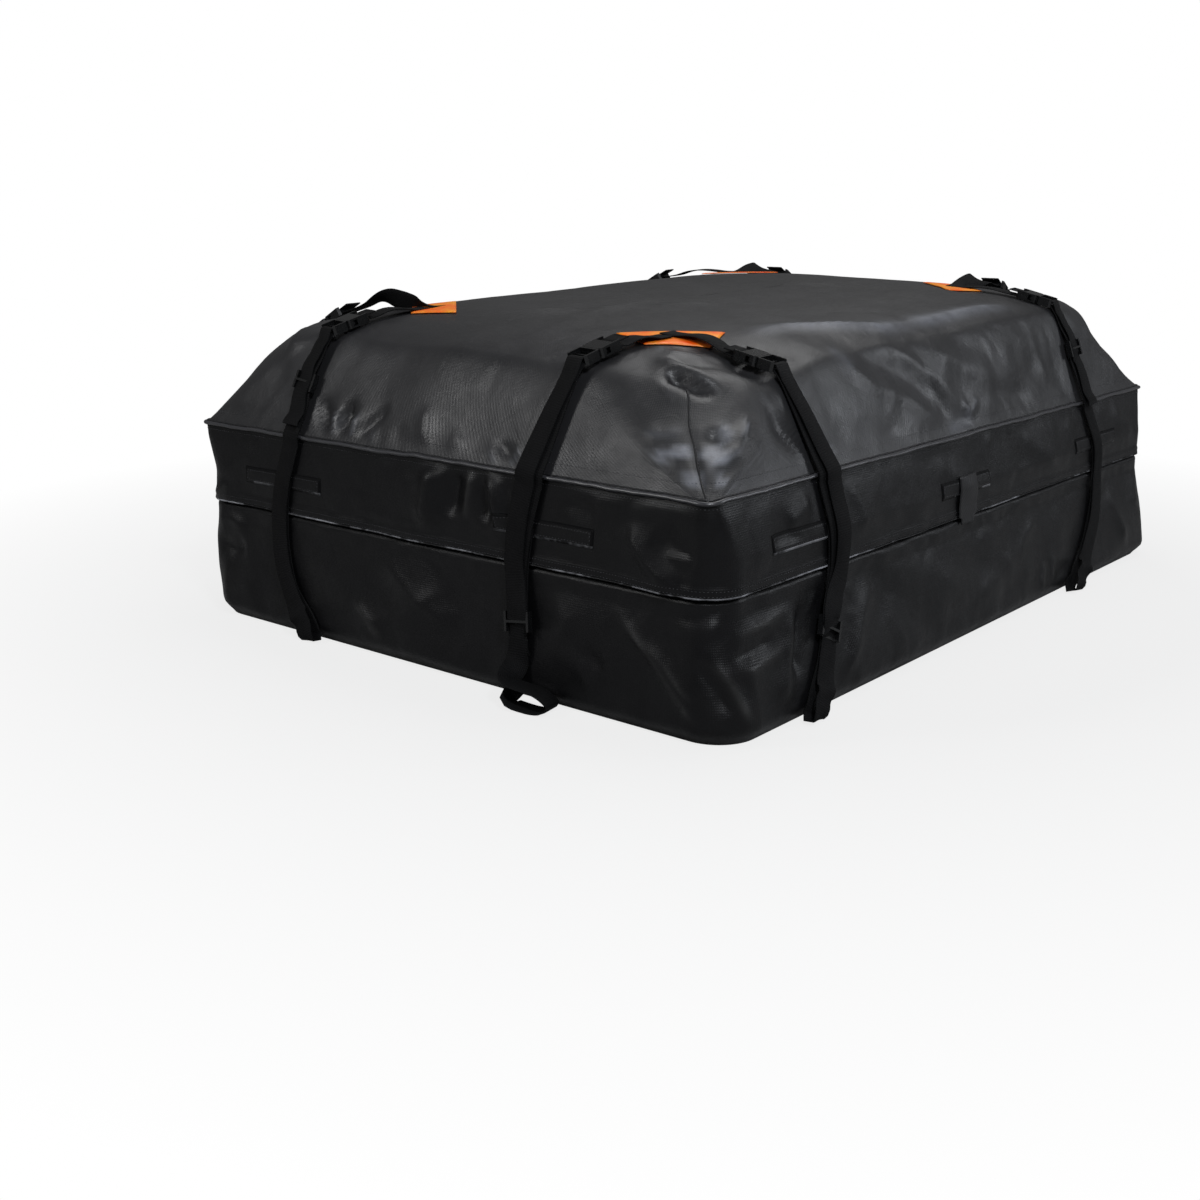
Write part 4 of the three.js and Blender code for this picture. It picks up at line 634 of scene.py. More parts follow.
def strap_lines_on_lid():
    for side, line, corner, _ in STRAP_RUNS.values():
        out, along = SIDES[side]
        start = out * side_reach(out, PIPING_Z) + along * line[-1][1]
        yield start[:2], np.array(PATCH_MIDDLES[corner], float)


def off_patches(places):
    """How far points in plan are from the nearest corner patch."""
    away = np.full(len(places), np.inf)
    for x, y in PATCH_MIDDLES.values():
        out = corner_way(x, y)
        depth = np.abs((places - (x, y)) @ out) - PATCH_DEPTH / 2
        width = np.abs((places - (x, y)) @ (-out[1], out[0])) - PATCH_FLAT_HALF
        away = np.minimum(away, np.maximum(depth, width))
    return away


def near_strap_on_lid(points):
    best = np.full(len(points), np.inf)
    for start, end in strap_lines_on_lid():
        run = end - start
        share = np.clip(((points[:, :2] - start) @ run) / (run @ run), 0, 1)
        away = points[:, :2] - start - share[:, None] * run
        best = np.minimum(best, np.linalg.norm(away, axis=1))
    return best


LID_INSETS = np.concatenate([[0, 1.5, 4, 7], np.arange(10, 112, 3.3), np.arange(114, 200, 6),
                             np.arange(204, 424, 12), [429, 432.6, 433.9]])
lid_rows, lid_whitening_and_highlight = [], []
for inset in LID_INSETS:
    places, outs = lid_ring(inset)
    tilt = (0.02 * places[:, 0] + 0.018 * places[:, 1]) * smooth(inset, 0, SLOPE_RUN)
    points = np.hstack([places, (lid_profile(inset) + tilt)[:, None]])
    rise = (lid_profile(inset + 1) - lid_profile(max(inset - 1, 0))) / (2 if inset >= 1 else 1)
    steep = math.hypot(1, rise)
    leaning = np.hstack([outs * rise, np.ones((len(outs), 1))]) / steep
    near_strap = near_strap_on_lid(points)
    flat = smooth(off_patches(places), 2, 10) * smooth(near_strap, 9, 20)
    free = flat * smooth(near_strap, 18, 60)
    front = smooth(-outs[:, 1], 0.2, 0.8)
    rough = crumple(points, 150, 23) * 4 + crushed(points, 110, 31) * (2.6 + 3.2 * front)
    rough += crushed(points, 46, 29) * (0.6 + 0.9 * front)
    rough *= 0.3 + 0.7 * (1 - smooth(inset, 80, 170))
    pucker = crumple(points * (1, 1, 0.4), 15, 37) * 0.9 * math.exp(-inset / 9)
    lift = (rough * free + fold_height(points, LID_FOLDS) * flat) * smooth(inset, 1, 14)
    lift += pucker * smooth(inset, 0, 3)
    dart = fold_height(points, ((NEAR_DART, -9, 3.2, 1.2), (NEAR_DART, 3, 11, 1.5)))
    lift += dart * smooth(inset, 0, 6)
    flat_points, points = points, points + leaning * lift[:, None]
    for (x, y), height, width in LID_SWELLS:
        away = np.hypot(places[:, 0] - x, places[:, 1] - y) / width
        points[:, 2] += height * np.exp(-away * away) * smooth(inset, 8, 50)
    # Painted highlight on the lid: the fold crests, partly whitened creases, and the streaks of
    # painted highlight listed above.
    pale = crest_whitening_and_highlight(flat_points, LID_FOLDS) * 0.7 + fold_height(flat_points, LID_PAINTED_HIGHLIGHTS)
    lid_whitening_and_highlight.append(np.clip(pale, 0, 1) * flat)
    lid_rows.append(points)
lid_top = cloth_sheet("lid_top_sheet", lid_rows, wear_and_highlight=lid_whitening_and_highlight)
# Painted light: the lid top takes a lighter copy of the same tarpaulin, for the light falling on it
# from above; its bluish pale colour is painted highlight.
lit_copy_tarpaulin = tarpaulin("pvc_tarpaulin_painted_light", "#202021", "#2e2e30", "#84878f", 0.4, 0.46)
lid_top.data.materials.append(lit_copy_tarpaulin)
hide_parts("lid_top")
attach(lid_top, "bag")

# Piping. A thin cord in a woven bias binding, sewn into the seam between the band and the top,
# so that it stands a little proud all the way round and wanders where the cloth puckers.
PIPING_RADIUS = 2.5


def round_section(centres, outs, radius, facets):
    """Rows of points round a line of centres, for a cord that lies level."""
    rows = []
    for i in range(facets):
        angle = math.pi * 2 * i / facets
        rise = np.array([0, 0, radius * math.sin(angle)])
        rows.append(centres + outs * radius * math.cos(angle) + rise)
    return rows + [rows[0]]


piping_line, piping_outs = side_ring(PIPING_Z, -PIPING_RADIUS * 0.7)
wander = crumple(piping_line, 60, 41) * 1.6 + crumple(piping_line, 22, 43) * 0.6
sway = crumple(piping_line, 34, 47) * 0.5
piping_line = piping_line + np.array([0, 0, 1]) * wander[:, None] + piping_outs * sway[:, None]
piping = cloth_sheet("piping_cord", round_section(piping_line, piping_outs, PIPING_RADIUS, 10))
# Woven polyester binding: dull black, with fine slanting ribs that only just show. The same finish
# colours the dark cords of painted shade above the piping and along the dart.
binding, tree, shader = new_finish("woven_binding_and_painted_shade", Roughness=0.5)
shader.inputs["Base Color"].default_value = linear("#18181a")
shader.inputs["Specular IOR Level"].default_value = 0.4
cloth = add_node(tree, "ShaderNodeUVMap", uv_map="cloth").outputs["UV"]
ribs = add_node(tree, "ShaderNodeTexWave", {"Vector": cloth, "Scale": 90, "Distortion": 1},
                bands_direction="DIAGONAL")
ribbed = add_node(tree, "ShaderNodeBump",
                  {"Height": ribs.outputs["Fac"], "Strength": 0.4, "Distance": 0.0004})
tree.links.new(ribbed.outputs["Normal"], shader.inputs["Normal"])
# PVC drawn over a cord: smooth, a little shinier than the cloth beside it, and painted paler than
# it as a painted highlight along the piping.
piping_highlight_pvc, tree, shader = new_finish("pvc_piping_painted_highlight", Roughness=0.34)
shader.inputs["Base Color"].default_value = linear("#38383b")
piping.data.materials.append(piping_highlight_pvc)
# Painted shadow: a dark cord laid just above the piping, for the shadow in the gap between the lid
# and the piping.
piping_shadow_path = side_ring(PIPING_Z, 1.6)[0] + np.array([0, 0, 2.9]) * (1 + 0.2 * wander[:, None])
piping_shadow_cord = cloth_sheet("piping_shadow_cord", round_section(piping_shadow_path, piping_outs, 1.4, 6))
piping_shadow_cord.data.materials.append(binding)
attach(piping_shadow_cord, "bag")
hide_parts("top_piping")
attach(piping, "bag")

# Hem edge. The hem's fold is pressed hard, and its edge is painted pale in patches as
# one thin line of painted highlight right round the bag.
hem_line = band_points(HEM_Z + 1.4, -0.9)
_, hem_outs = side_ring(HEM_Z)
hem_edge = cloth_sheet("hem_edge", round_section(hem_line, hem_outs, 1.1, 8))
# Painted highlight: black PVC painted pale in patches, for an edge that catches the light.
edge_highlight_finish, tree, shader = new_finish("pvc_edge_painted_highlight", Roughness=0.5)
shader.inputs["Specular IOR Level"].default_value = 0.2
place = add_node(tree, "ShaderNodeTexCoord").outputs["Object"]
wear_and_highlight = add_node(tree, "ShaderNodeTexNoise",
                  {"Vector": place, "Scale": 8, "Detail": 5, "Roughness": 0.75})
highlight_patches = add_node(tree, "ShaderNodeMapRange",
               {"Value": wear_and_highlight.outputs["Fac"], "From Min": 0.49, "From Max": 0.68})
tone = add_node(tree, "ShaderNodeMixRGB",
                {"Fac": highlight_patches.outputs["Result"], "Color1": linear("#141415"),
                 "Color2": linear("#a8a9ae")})
tree.links.new(tone.outputs["Color"], shader.inputs["Base Color"])
hem_edge.data.materials.append(edge_highlight_finish)
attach(hem_edge, "bag")

# Keeper patches. Eight oblongs of the same tarpaulin with bound edges, sewn on the band where
# each long strap starts.
KEEPER_TOP_Z, KEEPER_HEIGHT, KEEPER_LENGTH, BINDING_WIDTH = 216, 22, 150, 3.2
PATCH_LIFT, THREAD_LIFT, STITCH_INSET = 1.5, 1.6, 4.6
# Spun polyester binding: matt and near black, so that it draws the patch's outline; its darkness is
# partly the binding and partly painted shade along the patch's raised edge.
patch_binding_and_shade, tree, shader = new_finish("bound_patch_edge_painted_shade", Roughness=0.7)
ground = add_node(tree, "ShaderNodeTexCoord").outputs["Object"]
fray = add_node(tree, "ShaderNodeTexNoise", {"Vector": ground, "Scale": 400, "Detail": 3})
tone = add_node(tree, "ShaderNodeMixRGB",
                {"Fac": fray.outputs["Fac"], "Color1": linear("#040405"),
                 "Color2": linear("#0c0c0d")})
tree.links.new(tone.outputs["Color"], shader.inputs["Base Color"])
shader.inputs["Specular IOR Level"].default_value = 0.12


def surface_of(piece):
    mesh = piece.data
    return BVHTree.FromPolygons([v.co for v in mesh.vertices], [p.vertices for p in mesh.polygons])


band_shape = surface_of(lid_band)


def thicken(piece, thickness, offset=0.0):
    """Cloth given its thickness in mm, about its middle or, at -1, all behind its face."""
    thick = piece.modifiers.new("thickness", "SOLIDIFY")
    thick.thickness = thickness * MM
    thick.offset = offset


def band_spot(side, place, z, lift):
    """The point on the band, seen straight from its side, and lifted off it."""
    out, along = (Vector(way) for way in SIDES[side])
    start = (along * place + Vector((0, 0, z))) * MM + out
    hit = band_shape.ray_cast(start, -out)[0]
    return np.array((hit + out * lift * MM) / MM)


def laid_patch(name, side, middle, length, low, high, finish):
    """A bound oblong of cloth laid on the band: the cloth, and a narrow binding at its edges, near
    black along the top and ends as partly painted shade, and pale along the bottom as painted
    highlight.
    """
    inner = np.linspace(BINDING_WIDTH, length - BINDING_WIDTH, 36)
    columns = np.concatenate([[0, BINDING_WIDTH], inner[1:], [length]]) - length / 2
    between = np.linspace(low + BINDING_WIDTH, high - BINDING_WIDTH, 5)
    heights = np.array([low, low + BINDING_WIDTH, *between[1:], high])
    rows = []
    for z in heights:
        edge = z in (low, high)
        lifts = [PATCH_LIFT - (0.9 if edge or abs(c) == length / 2 else 0) for c in columns]
        rows.append([band_spot(side, middle + c, z, lift) for c, lift in zip(columns, lifts)])
    if (SIDES[side][0] @ np.cross(SIDES[side][1], (0, 0, 1))) < 0:
        rows = rows[::-1]
    piece = cloth_sheet(name, rows, closed=False)
    for cloth in (finish, patch_binding_and_shade, edge_highlight_finish):
        piece.data.materials.append(cloth)
    wide, tall = len(columns) - 1, len(heights) - 1
    upside_down = rows[0][0][2] > rows[-1][0][2]
    for face in piece.data.polygons:
        row, column = divmod(face.index, wide)
        row = tall - 1 - row if upside_down else row
        # The top row and ends take the near-black binding, partly painted shade; the bottom row
        # takes the pale edge, a painted highlight.
        face.material_index = 2 if row == 0 else int(row == tall - 1 or column in (0, wide - 1))
    thicken(piece, 1, -1)
    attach(piece, "bag")
    return piece


thread_lines = []


def outline_thread(side, middle, length, low, high):
    """A line of stitches round an oblong patch, a little inside its edge."""
    half, steps = length / 2 - STITCH_INSET, int(length / 6)
    low, high = low + STITCH_INSET, high - STITCH_INSET
    across, up = np.linspace(-half, half, steps), np.linspace(low, high, 5)
    spots = [(c, low) for c in across] + [(half, z) for z in up]
    spots += [(c, high) for c in across[::-1]] + [(-half, z) for z in up[::-1]]
    thread_lines.append(np.array([band_spot(side, middle + c, z, THREAD_LIFT) for c, z in spots]))


for name, (side, _, _, middle) in STRAP_RUNS.items():
    place = (side, middle, KEEPER_LENGTH, KEEPER_TOP_Z - KEEPER_HEIGHT, KEEPER_TOP_Z)
    keeper = laid_patch(f"keeper_patch_{name}", *place, shaded_copy_tarpaulin)
    outline_thread(*place)

# Closure tab. A tab of tarpaulin over an oblong patch at the middle of the front; it hangs over
# the hem and covers the place where the two zip sliders meet.
TAB_X, TAB_WIDTH, TAB_TOP_Z, TAB_BOTTOM_Z = -32, 50, 216, 152
TAB_PATCH_LENGTH, TAB_PATCH_LOW, TAB_PATCH_TOP = 138, 191, 213
place = ("front", TAB_X, TAB_PATCH_LENGTH, TAB_PATCH_LOW, TAB_PATCH_TOP)
tab_patch = laid_patch("closure_tab_patch", *place, shaded_copy_tarpaulin)
outline_thread(*place)
rows = []
for z in np.linspace(TAB_TOP_Z, TAB_BOTTOM_Z, 26):
    half = TAB_WIDTH / 2 if z > HEM_Z + 1 else TAB_WIDTH / 2 - 7
    row = []
    for c in np.linspace(-half, half, 13):
        spot = band_spot("front", TAB_X + c, max(z, HEM_Z + 3), 2.9 + 0.5 * math.sin(z / 7))
        row.append((spot[0], spot[1], z))
    rows.append(row)
tab = cloth_sheet("closure_tab_flap", rows, closed=False)
tab.data.materials.append(binding)
thicken(tab, 1.4)
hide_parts("closure_tab")
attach(tab, "bag")

# Zip. A coil zip of nylon on woven polyester tape, sewn round the bag behind the storm flap,
# with two sliders of die-cast zinc in black lacquer, each with a flat pull.
TAPE_ROWS = ((166, 21.5), (170, 21), (174, 20.4), (179, 20.2), (184, 20.4), (188, 21), (192, 21.5))
tape = cloth_sheet("zip_tape_cloth", [side_ring(z, inset)[0] for z, inset in TAPE_ROWS])
# Woven polyester tape: matt, in a slanting twill drawn coarse, at 1.6 mm, to show.
twill, tree, shader = new_finish("woven_polyester_tape", Roughness=0.72)
cloth = add_node(tree, "ShaderNodeUVMap", uv_map="cloth").outputs["UV"]
yarns = add_node(tree, "ShaderNodeTexWave", {"Vector": cloth, "Scale": band_scale(1.6)},
                 bands_direction="DIAGONAL")
tone = add_node(tree, "ShaderNodeMixRGB",
                {"Fac": yarns.outputs["Fac"], "Color1": linear("#070708"),
                 "Color2": linear("#141415")})
tree.links.new(tone.outputs["Color"], shader.inputs["Base Color"])
raised = add_node(tree, "ShaderNodeBump",
                  {"Height": yarns.outputs["Fac"], "Strength": 0.5, "Distance": 0.0004})
tree.links.new(raised.outputs["Normal"], shader.inputs["Normal"])
tape.data.materials.append(twill)
thicken(tape, 0.7)
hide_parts("zip_tape")
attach(tape, "bag")
# Drawn nylon: a smooth filament with a soft shine, wound at 1.2 mm a turn.
nylon, tree, shader = new_finish("drawn_nylon_coil", Roughness=0.35)
place = add_node(tree, "ShaderNodeTexCoord").outputs["Object"]
turns = add_node(tree, "ShaderNodeTexWave", {"Vector": place, "Scale": band_scale(1.2)},
                 bands_direction="DIAGONAL")
tone = add_node(tree, "ShaderNodeMixRGB",
                {"Fac": turns.outputs["Fac"], "Color1": linear("#050506"),
                 "Color2": linear("#1b1b1d")})
tree.links.new(tone.outputs["Color"], shader.inputs["Base Color"])
wound = add_node(tree, "ShaderNodeBump",
                 {"Height": turns.outputs["Fac"], "Strength": 0.8, "Distance": 0.0008})
tree.links.new(wound.outputs["Normal"], shader.inputs["Normal"])
# Lacquered zinc: a thin clear gloss over a faintly pitted casting.
zinc, tree, shader = new_finish("black_lacquered_zinc", Roughness=0.3, Coat_Weight=0.5,
                                Coat_Roughness=0.12)
place = add_node(tree, "ShaderNodeTexCoord").outputs["Object"]
casting = add_node(tree, "ShaderNodeTexNoise", {"Vector": place, "Scale": 300, "Detail": 3})
tone = add_node(tree, "ShaderNodeMixRGB",
                {"Fac": casting.outputs["Fac"], "Color1": linear("#0c0c0d"),
                 "Color2": linear("#1c1c1e")})
tree.links.new(tone.outputs["Color"], shader.inputs["Base Color"])
cast = add_node(tree, "ShaderNodeBump",
                {"Height": casting.outputs["Fac"], "Strength": 0.25, "Distance": 0.0002})
tree.links.new(cast.outputs["Normal"], shader.inputs["Normal"])
finish_solid("zip_coil", nylon)
for hand in ("left", "right"):
    finish_solid(f"zip_slider_{hand}", zinc)
    finish_solid(f"zip_pull_{hand}", zinc)

# Stitches. Lockstitch in bonded polyester thread, 4.4 mm a stitch: two rows at the hem, one on
# each side of the piping, and one round each patch.
STITCH_PITCH, STITCH_LENGTH, STITCH_RADIUS = 4.4, 3.2, 0.42


def closed_line(row):
    return np.vstack([row, row[:1]])


def lockstitches(name, lines):
    """One mesh of stitches along lines of points: each an eight-sided grain of thread."""
    spots, faces = [], []
    for line in lines:
        reach = np.concatenate([[0], np.cumsum(np.linalg.norm(np.diff(line, axis=0), axis=1))])
        starts = np.arange(int(reach[-1] / STITCH_PITCH)) * STITCH_PITCH
        a, b = (np.stack([np.interp(at, reach, line[:, i]) for i in range(3)], 1)
                for at in (starts, starts + STITCH_LENGTH))
        ahead = (b - a) / np.linalg.norm(b - a, axis=1)[:, None]
        side = np.cross(ahead, (0.3, 0.2, 1))
        side /= np.linalg.norm(side, axis=1)[:, None]
        up = np.cross(ahead, side)
        middle = (a + b) / 2
        girth = [middle + (side * c + up * s) * STITCH_RADIUS
                 for c, s in ((1, 0), (0, 1), (-1, 0), (0, -1))]
        grain = np.stack([a, b] + girth, 1)
        first = len(spots)
        spots += grain.reshape(-1, 3).tolist()
        for k in range(len(grain)):
            base = first + k * 6
            faces += [(base, base + 2 + i, base + 2 + (i + 1) % 4) for i in range(4)]
            faces += [(base + 1, base + 2 + (i + 1) % 4, base + 2 + i) for i in range(4)]
    mesh = bpy.data.meshes.new(name)
    mesh.from_pydata((np.array(spots) * MM).tolist(), [], faces)
    mesh.shade_smooth()
    piece = new_piece(name, mesh)
    piece.data.materials.append(thread)
    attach(piece, "bag")
    return piece


# Bonded polyester thread: smooth, and paler than the cloth that it sews.
thread, tree, shader = new_finish("bonded_polyester_thread", Roughness=0.45)
shader.inputs["Base Color"].default_value = linear("#3a3a3d")
lockstitches("patch_stitches", thread_lines)
lockstitches("hem_stitches", [closed_line(band_points(HEM_Z + 9.6, -1.3)),
                              closed_line(band_points(HEM_Z + 4, -1.5))])
lockstitches("piping_stitches", [closed_line(band_points(257.5, -0.2)),
                                 closed_line(lid_rows[3] + (0, 0, 0.15))])

# Straps. Black polypropylene webbing, 30 mm wide, woven with ribs across. Each long strap is
# sewn to the band, loops for the rack's bar at the roof and comes up over the piping to its
# buckle, where its tail turns back; a short strap holds the buckle to the lid's corner.
WEBBING_WIDTH, WEBBING_THICKNESS, SLOPE_LOCKS_Z = 30, 1.7, 200
# By strap: how far its loop reaches and is turned aside, how high its short strap humps, how far
# in that strap lies and how it twists, and where its tail ends and how far aside it lies.
LOOP_REACH = {"left_front": 58}
LOOP_TURN = {"left_front": -1.75}
HUMPS = {"left_back": 7, "back_left": 14, "front_left": 7, "left_front": 6, "right_front": 9,
         "right_back": 9, "back_right": 7, "front_right": 4}
MEETING_INWARD = {"front_left": 9, "left_front": 8}
TWISTS = {"back_left": 68, "right_front": 42, "right_back": 40}
TAIL_ENDS = {"left_back": 276, "front_right": 262, "right_back": 288, "back_left": 300}
TAIL_ASIDE = {"left_front": 9, "left_back": 7, "front_left": 11, "front_right": 8, "right_front": 6,
              "right_back": -6, "back_left": 6, "back_right": -6}
lid_shape = surface_of(lid_top)


def lid_height(x, y):
    hit = lid_shape.ray_cast(Vector((x * MM, y * MM, 1)), Vector((0, 0, -1)))[0]
    return hit.z / MM if hit else PIPING_Z


def through(points, step):
    """A smooth line through points, with a point about every step in mm."""
    points = np.array(points, float)
    ends = np.vstack([2 * points[0] - points[1], points, 2 * points[-1] - points[-2]])
    line = []
    for a, b, c, d in zip(ends, ends[1:], ends[2:], ends[3:]):
        count = max(int(np.linalg.norm(c - b) / step), 1)
        bend, swing = 2 * a - 5 * b + 4 * c - d, 3 * b - a - 3 * c + d
        for t in np.arange(count) / count:
            line.append(0.5 * (2 * b + (c - a) * t + bend * t ** 2 + swing * t ** 3))
    return np.array(line + [points[-1]])


def ribbon(name, line, across):
    """Webbing along a line of points, each with its direction across."""
    ahead = np.gradient(line, axis=0)
    ahead /= np.linalg.norm(ahead, axis=1)[:, None]
    across = across - ahead * (across * ahead).sum(1)[:, None]
    across /= np.linalg.norm(across, axis=1)[:, None]
    up = np.cross(ahead, across)
    half, thick = WEBBING_WIDTH / 2, WEBBING_THICKNESS / 2
    section = [(-half, 0), (-half + 0.8, thick), (-half / 2, thick * 1.15), (0, thick),
               (half / 2, thick * 1.15), (half - 0.8, thick), (half, 0), (half - 0.8, -thick),
               (0, -thick), (-half + 0.8, -thick)]
    rows = [line + across * a + up * b for a, b in section]
    rows.append(rows[0])
    piece = cloth_sheet(name, np.array(rows), closed=False)
    count = len(line)
    ends = [[k * count for k in range(len(section))][::-1],
            [k * count + count - 1 for k in range(len(section))]]
    mesh = piece.data
    for vertex in mesh.vertices:
        vertex.co.z = max(vertex.co.z, 0.0002)
    uv = np.zeros(len(mesh.loops) * 2, np.float32)
    mesh.uv_layers["cloth"].data.foreach_get("uv", uv)
    grown = [list(p.vertices) for p in mesh.polygons] + ends
    fresh = bpy.data.meshes.new(name)
    fresh.from_pydata([v.co.copy() for v in mesh.vertices], [], grown)
    layer = fresh.uv_layers.new(name="cloth")
    on_ends = np.zeros(2 * sum(len(end) for end in ends), np.float32)
    layer.data.foreach_set("uv", np.concatenate([uv, on_ends]))
    fresh.shade_smooth()
    piece.data = fresh
    return piece


def side_spot(name, z, away, height=None):
    """A point off the bag's side where a strap runs, away from it by so much."""
    out, along = SIDES[STRAP_RUNS[name][0]]
    level = z if height is None else height
    point = out * (side_reach(out, max(z, TURN_Z)) + away) + along * strap_place(name, level)
    return np.array([point[0], point[1], level])


def joint_axis(name):
    return np.array(next(j for j in frame["joints"] if j["name"] == name)["axis"], float)


def slip_lock_middle(name):
    return np.array(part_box(f"slip_lock_{name}")).mean(0) / MM


def loop_way(name):
    """The way a strap's loop points: out from the bag, or turned aside where it lies slack."""
    out, along = SIDES[STRAP_RUNS[name][0]]
    turn = LOOP_TURN.get(name, 0)
    return out * math.cos(turn) + along * math.sin(turn)


def strap_down_and_loop(name):
    """From the keeper patch down to the roof and round the loop for the rack's bar."""
    reach, way = LOOP_REACH.get(name, 12), loop_way(name)
    clear = 4 + 26 * abs(math.sin(LOOP_TURN.get(name, 0)))
    drop = ((210, 3.0), (190, 3.0), (160, 3.2), (110, 3.2), (60, 3.4), (24, 3.4))
    round_bar = ((9, 0), (2.6, 0.35), (3.4, 0.75), (12, 1), (24, 0.75))
    line = [side_spot(name, z, away) for z, away in drop]
    line += [side_spot(name, TURN_Z, clear, z) + way * reach * share for z, share in round_bar]
    return line + [side_spot(name, TURN_Z, max(11, clear), 32) + way * reach * 0.1]


def strap_up(name):
    """From the loop up the bag's side and over the piping."""
    lock = slip_lock_middle(name)
    stations = [side_spot(name, 46, 9.4)]
    if lock[2] > SLOPE_LOCKS_Z:
        stations.append(side_spot(name, 95, 8.5))
    elif STRAP_RUNS[name][0] in ("right", "back"):
        way_up = joint_axis(f"slip_lock_slide_{name}")
        stations += [lock + way_up * rise for rise in (-14, 0, 14, 30, 46)]
    else:
        stations += [lock - (0, 0, 14), lock, lock + (0, 0, 14)]
    lowest = stations[-1][2] + 20
    upper = ((150, 6.4), (200, 5.6), (240, 5.2), (258, 5.4))
    stations += [side_spot(name, z, away) for z, away in upper if z > lowest]
    return stations + [side_spot(name, PIPING_Z, 7.4, PIPING_Z + 3)]


def buckle_place(name):
    """The buckle's place on its strap: its middle, then the way out, across and up."""
    ahead = joint_axis(f"buckle_release_{name}")
    across = np.cross([0, 0, 1], ahead)
    across /= np.linalg.norm(across)
    up = np.cross(ahead, across)
    seen = np.array([v.co for v in cad_nodes[f"buckle_female_{name}"].data.vertices]) / MM
    local = seen @ np.stack([ahead, across, up], 1)
    low, high = local.min(0), local.max(0)
    middle = ahead * (low[0] + BUCKLE_HALF_LENGTH) + across * (low[1] + high[1]) / 2 + up * low[2]
    return middle, ahead, across, up


# Polypropylene webbing: matt, with ribs across at 3 mm and yarns along at 2.2 mm.
webbing_black, tree, shader = new_finish("polypropylene_webbing", Roughness=0.75)
shader.inputs["Specular IOR Level"].default_value = 0.14
cloth = add_node(tree, "ShaderNodeUVMap", uv_map="cloth").outputs["UV"]
yarn = add_node(tree, "ShaderNodeTexWave",
                {"Vector": cloth, "Scale": band_scale(2.2), "Distortion": 0.4}, bands_direction="Y")
rib = add_node(tree, "ShaderNodeTexWave",
               {"Vector": cloth, "Scale": band_scale(3.0), "Distortion": 0.5}, bands_direction="X")
both = add_node(tree, "ShaderNodeMath", {0: yarn.outputs["Fac"], 1: rib.outputs["Fac"]},
                operation="MULTIPLY")
fuzz = add_node(tree, "ShaderNodeTexNoise", {"Vector": cloth, "Scale": 60, "Detail": 4})
tint = add_node(tree, "ShaderNodeMixRGB",
                {"Fac": fuzz.outputs["Fac"], "Color1": linear("#070708"),
                 "Color2": linear("#121213")})
tree.links.new(tint.outputs["Color"], shader.inputs["Base Color"])
woven = add_node(tree, "ShaderNodeBump",
                 {"Height": both.outputs["Value"], "Strength": 0.7, "Distance": 0.0007})
tree.links.new(woven.outputs["Normal"], shader.inputs["Normal"])

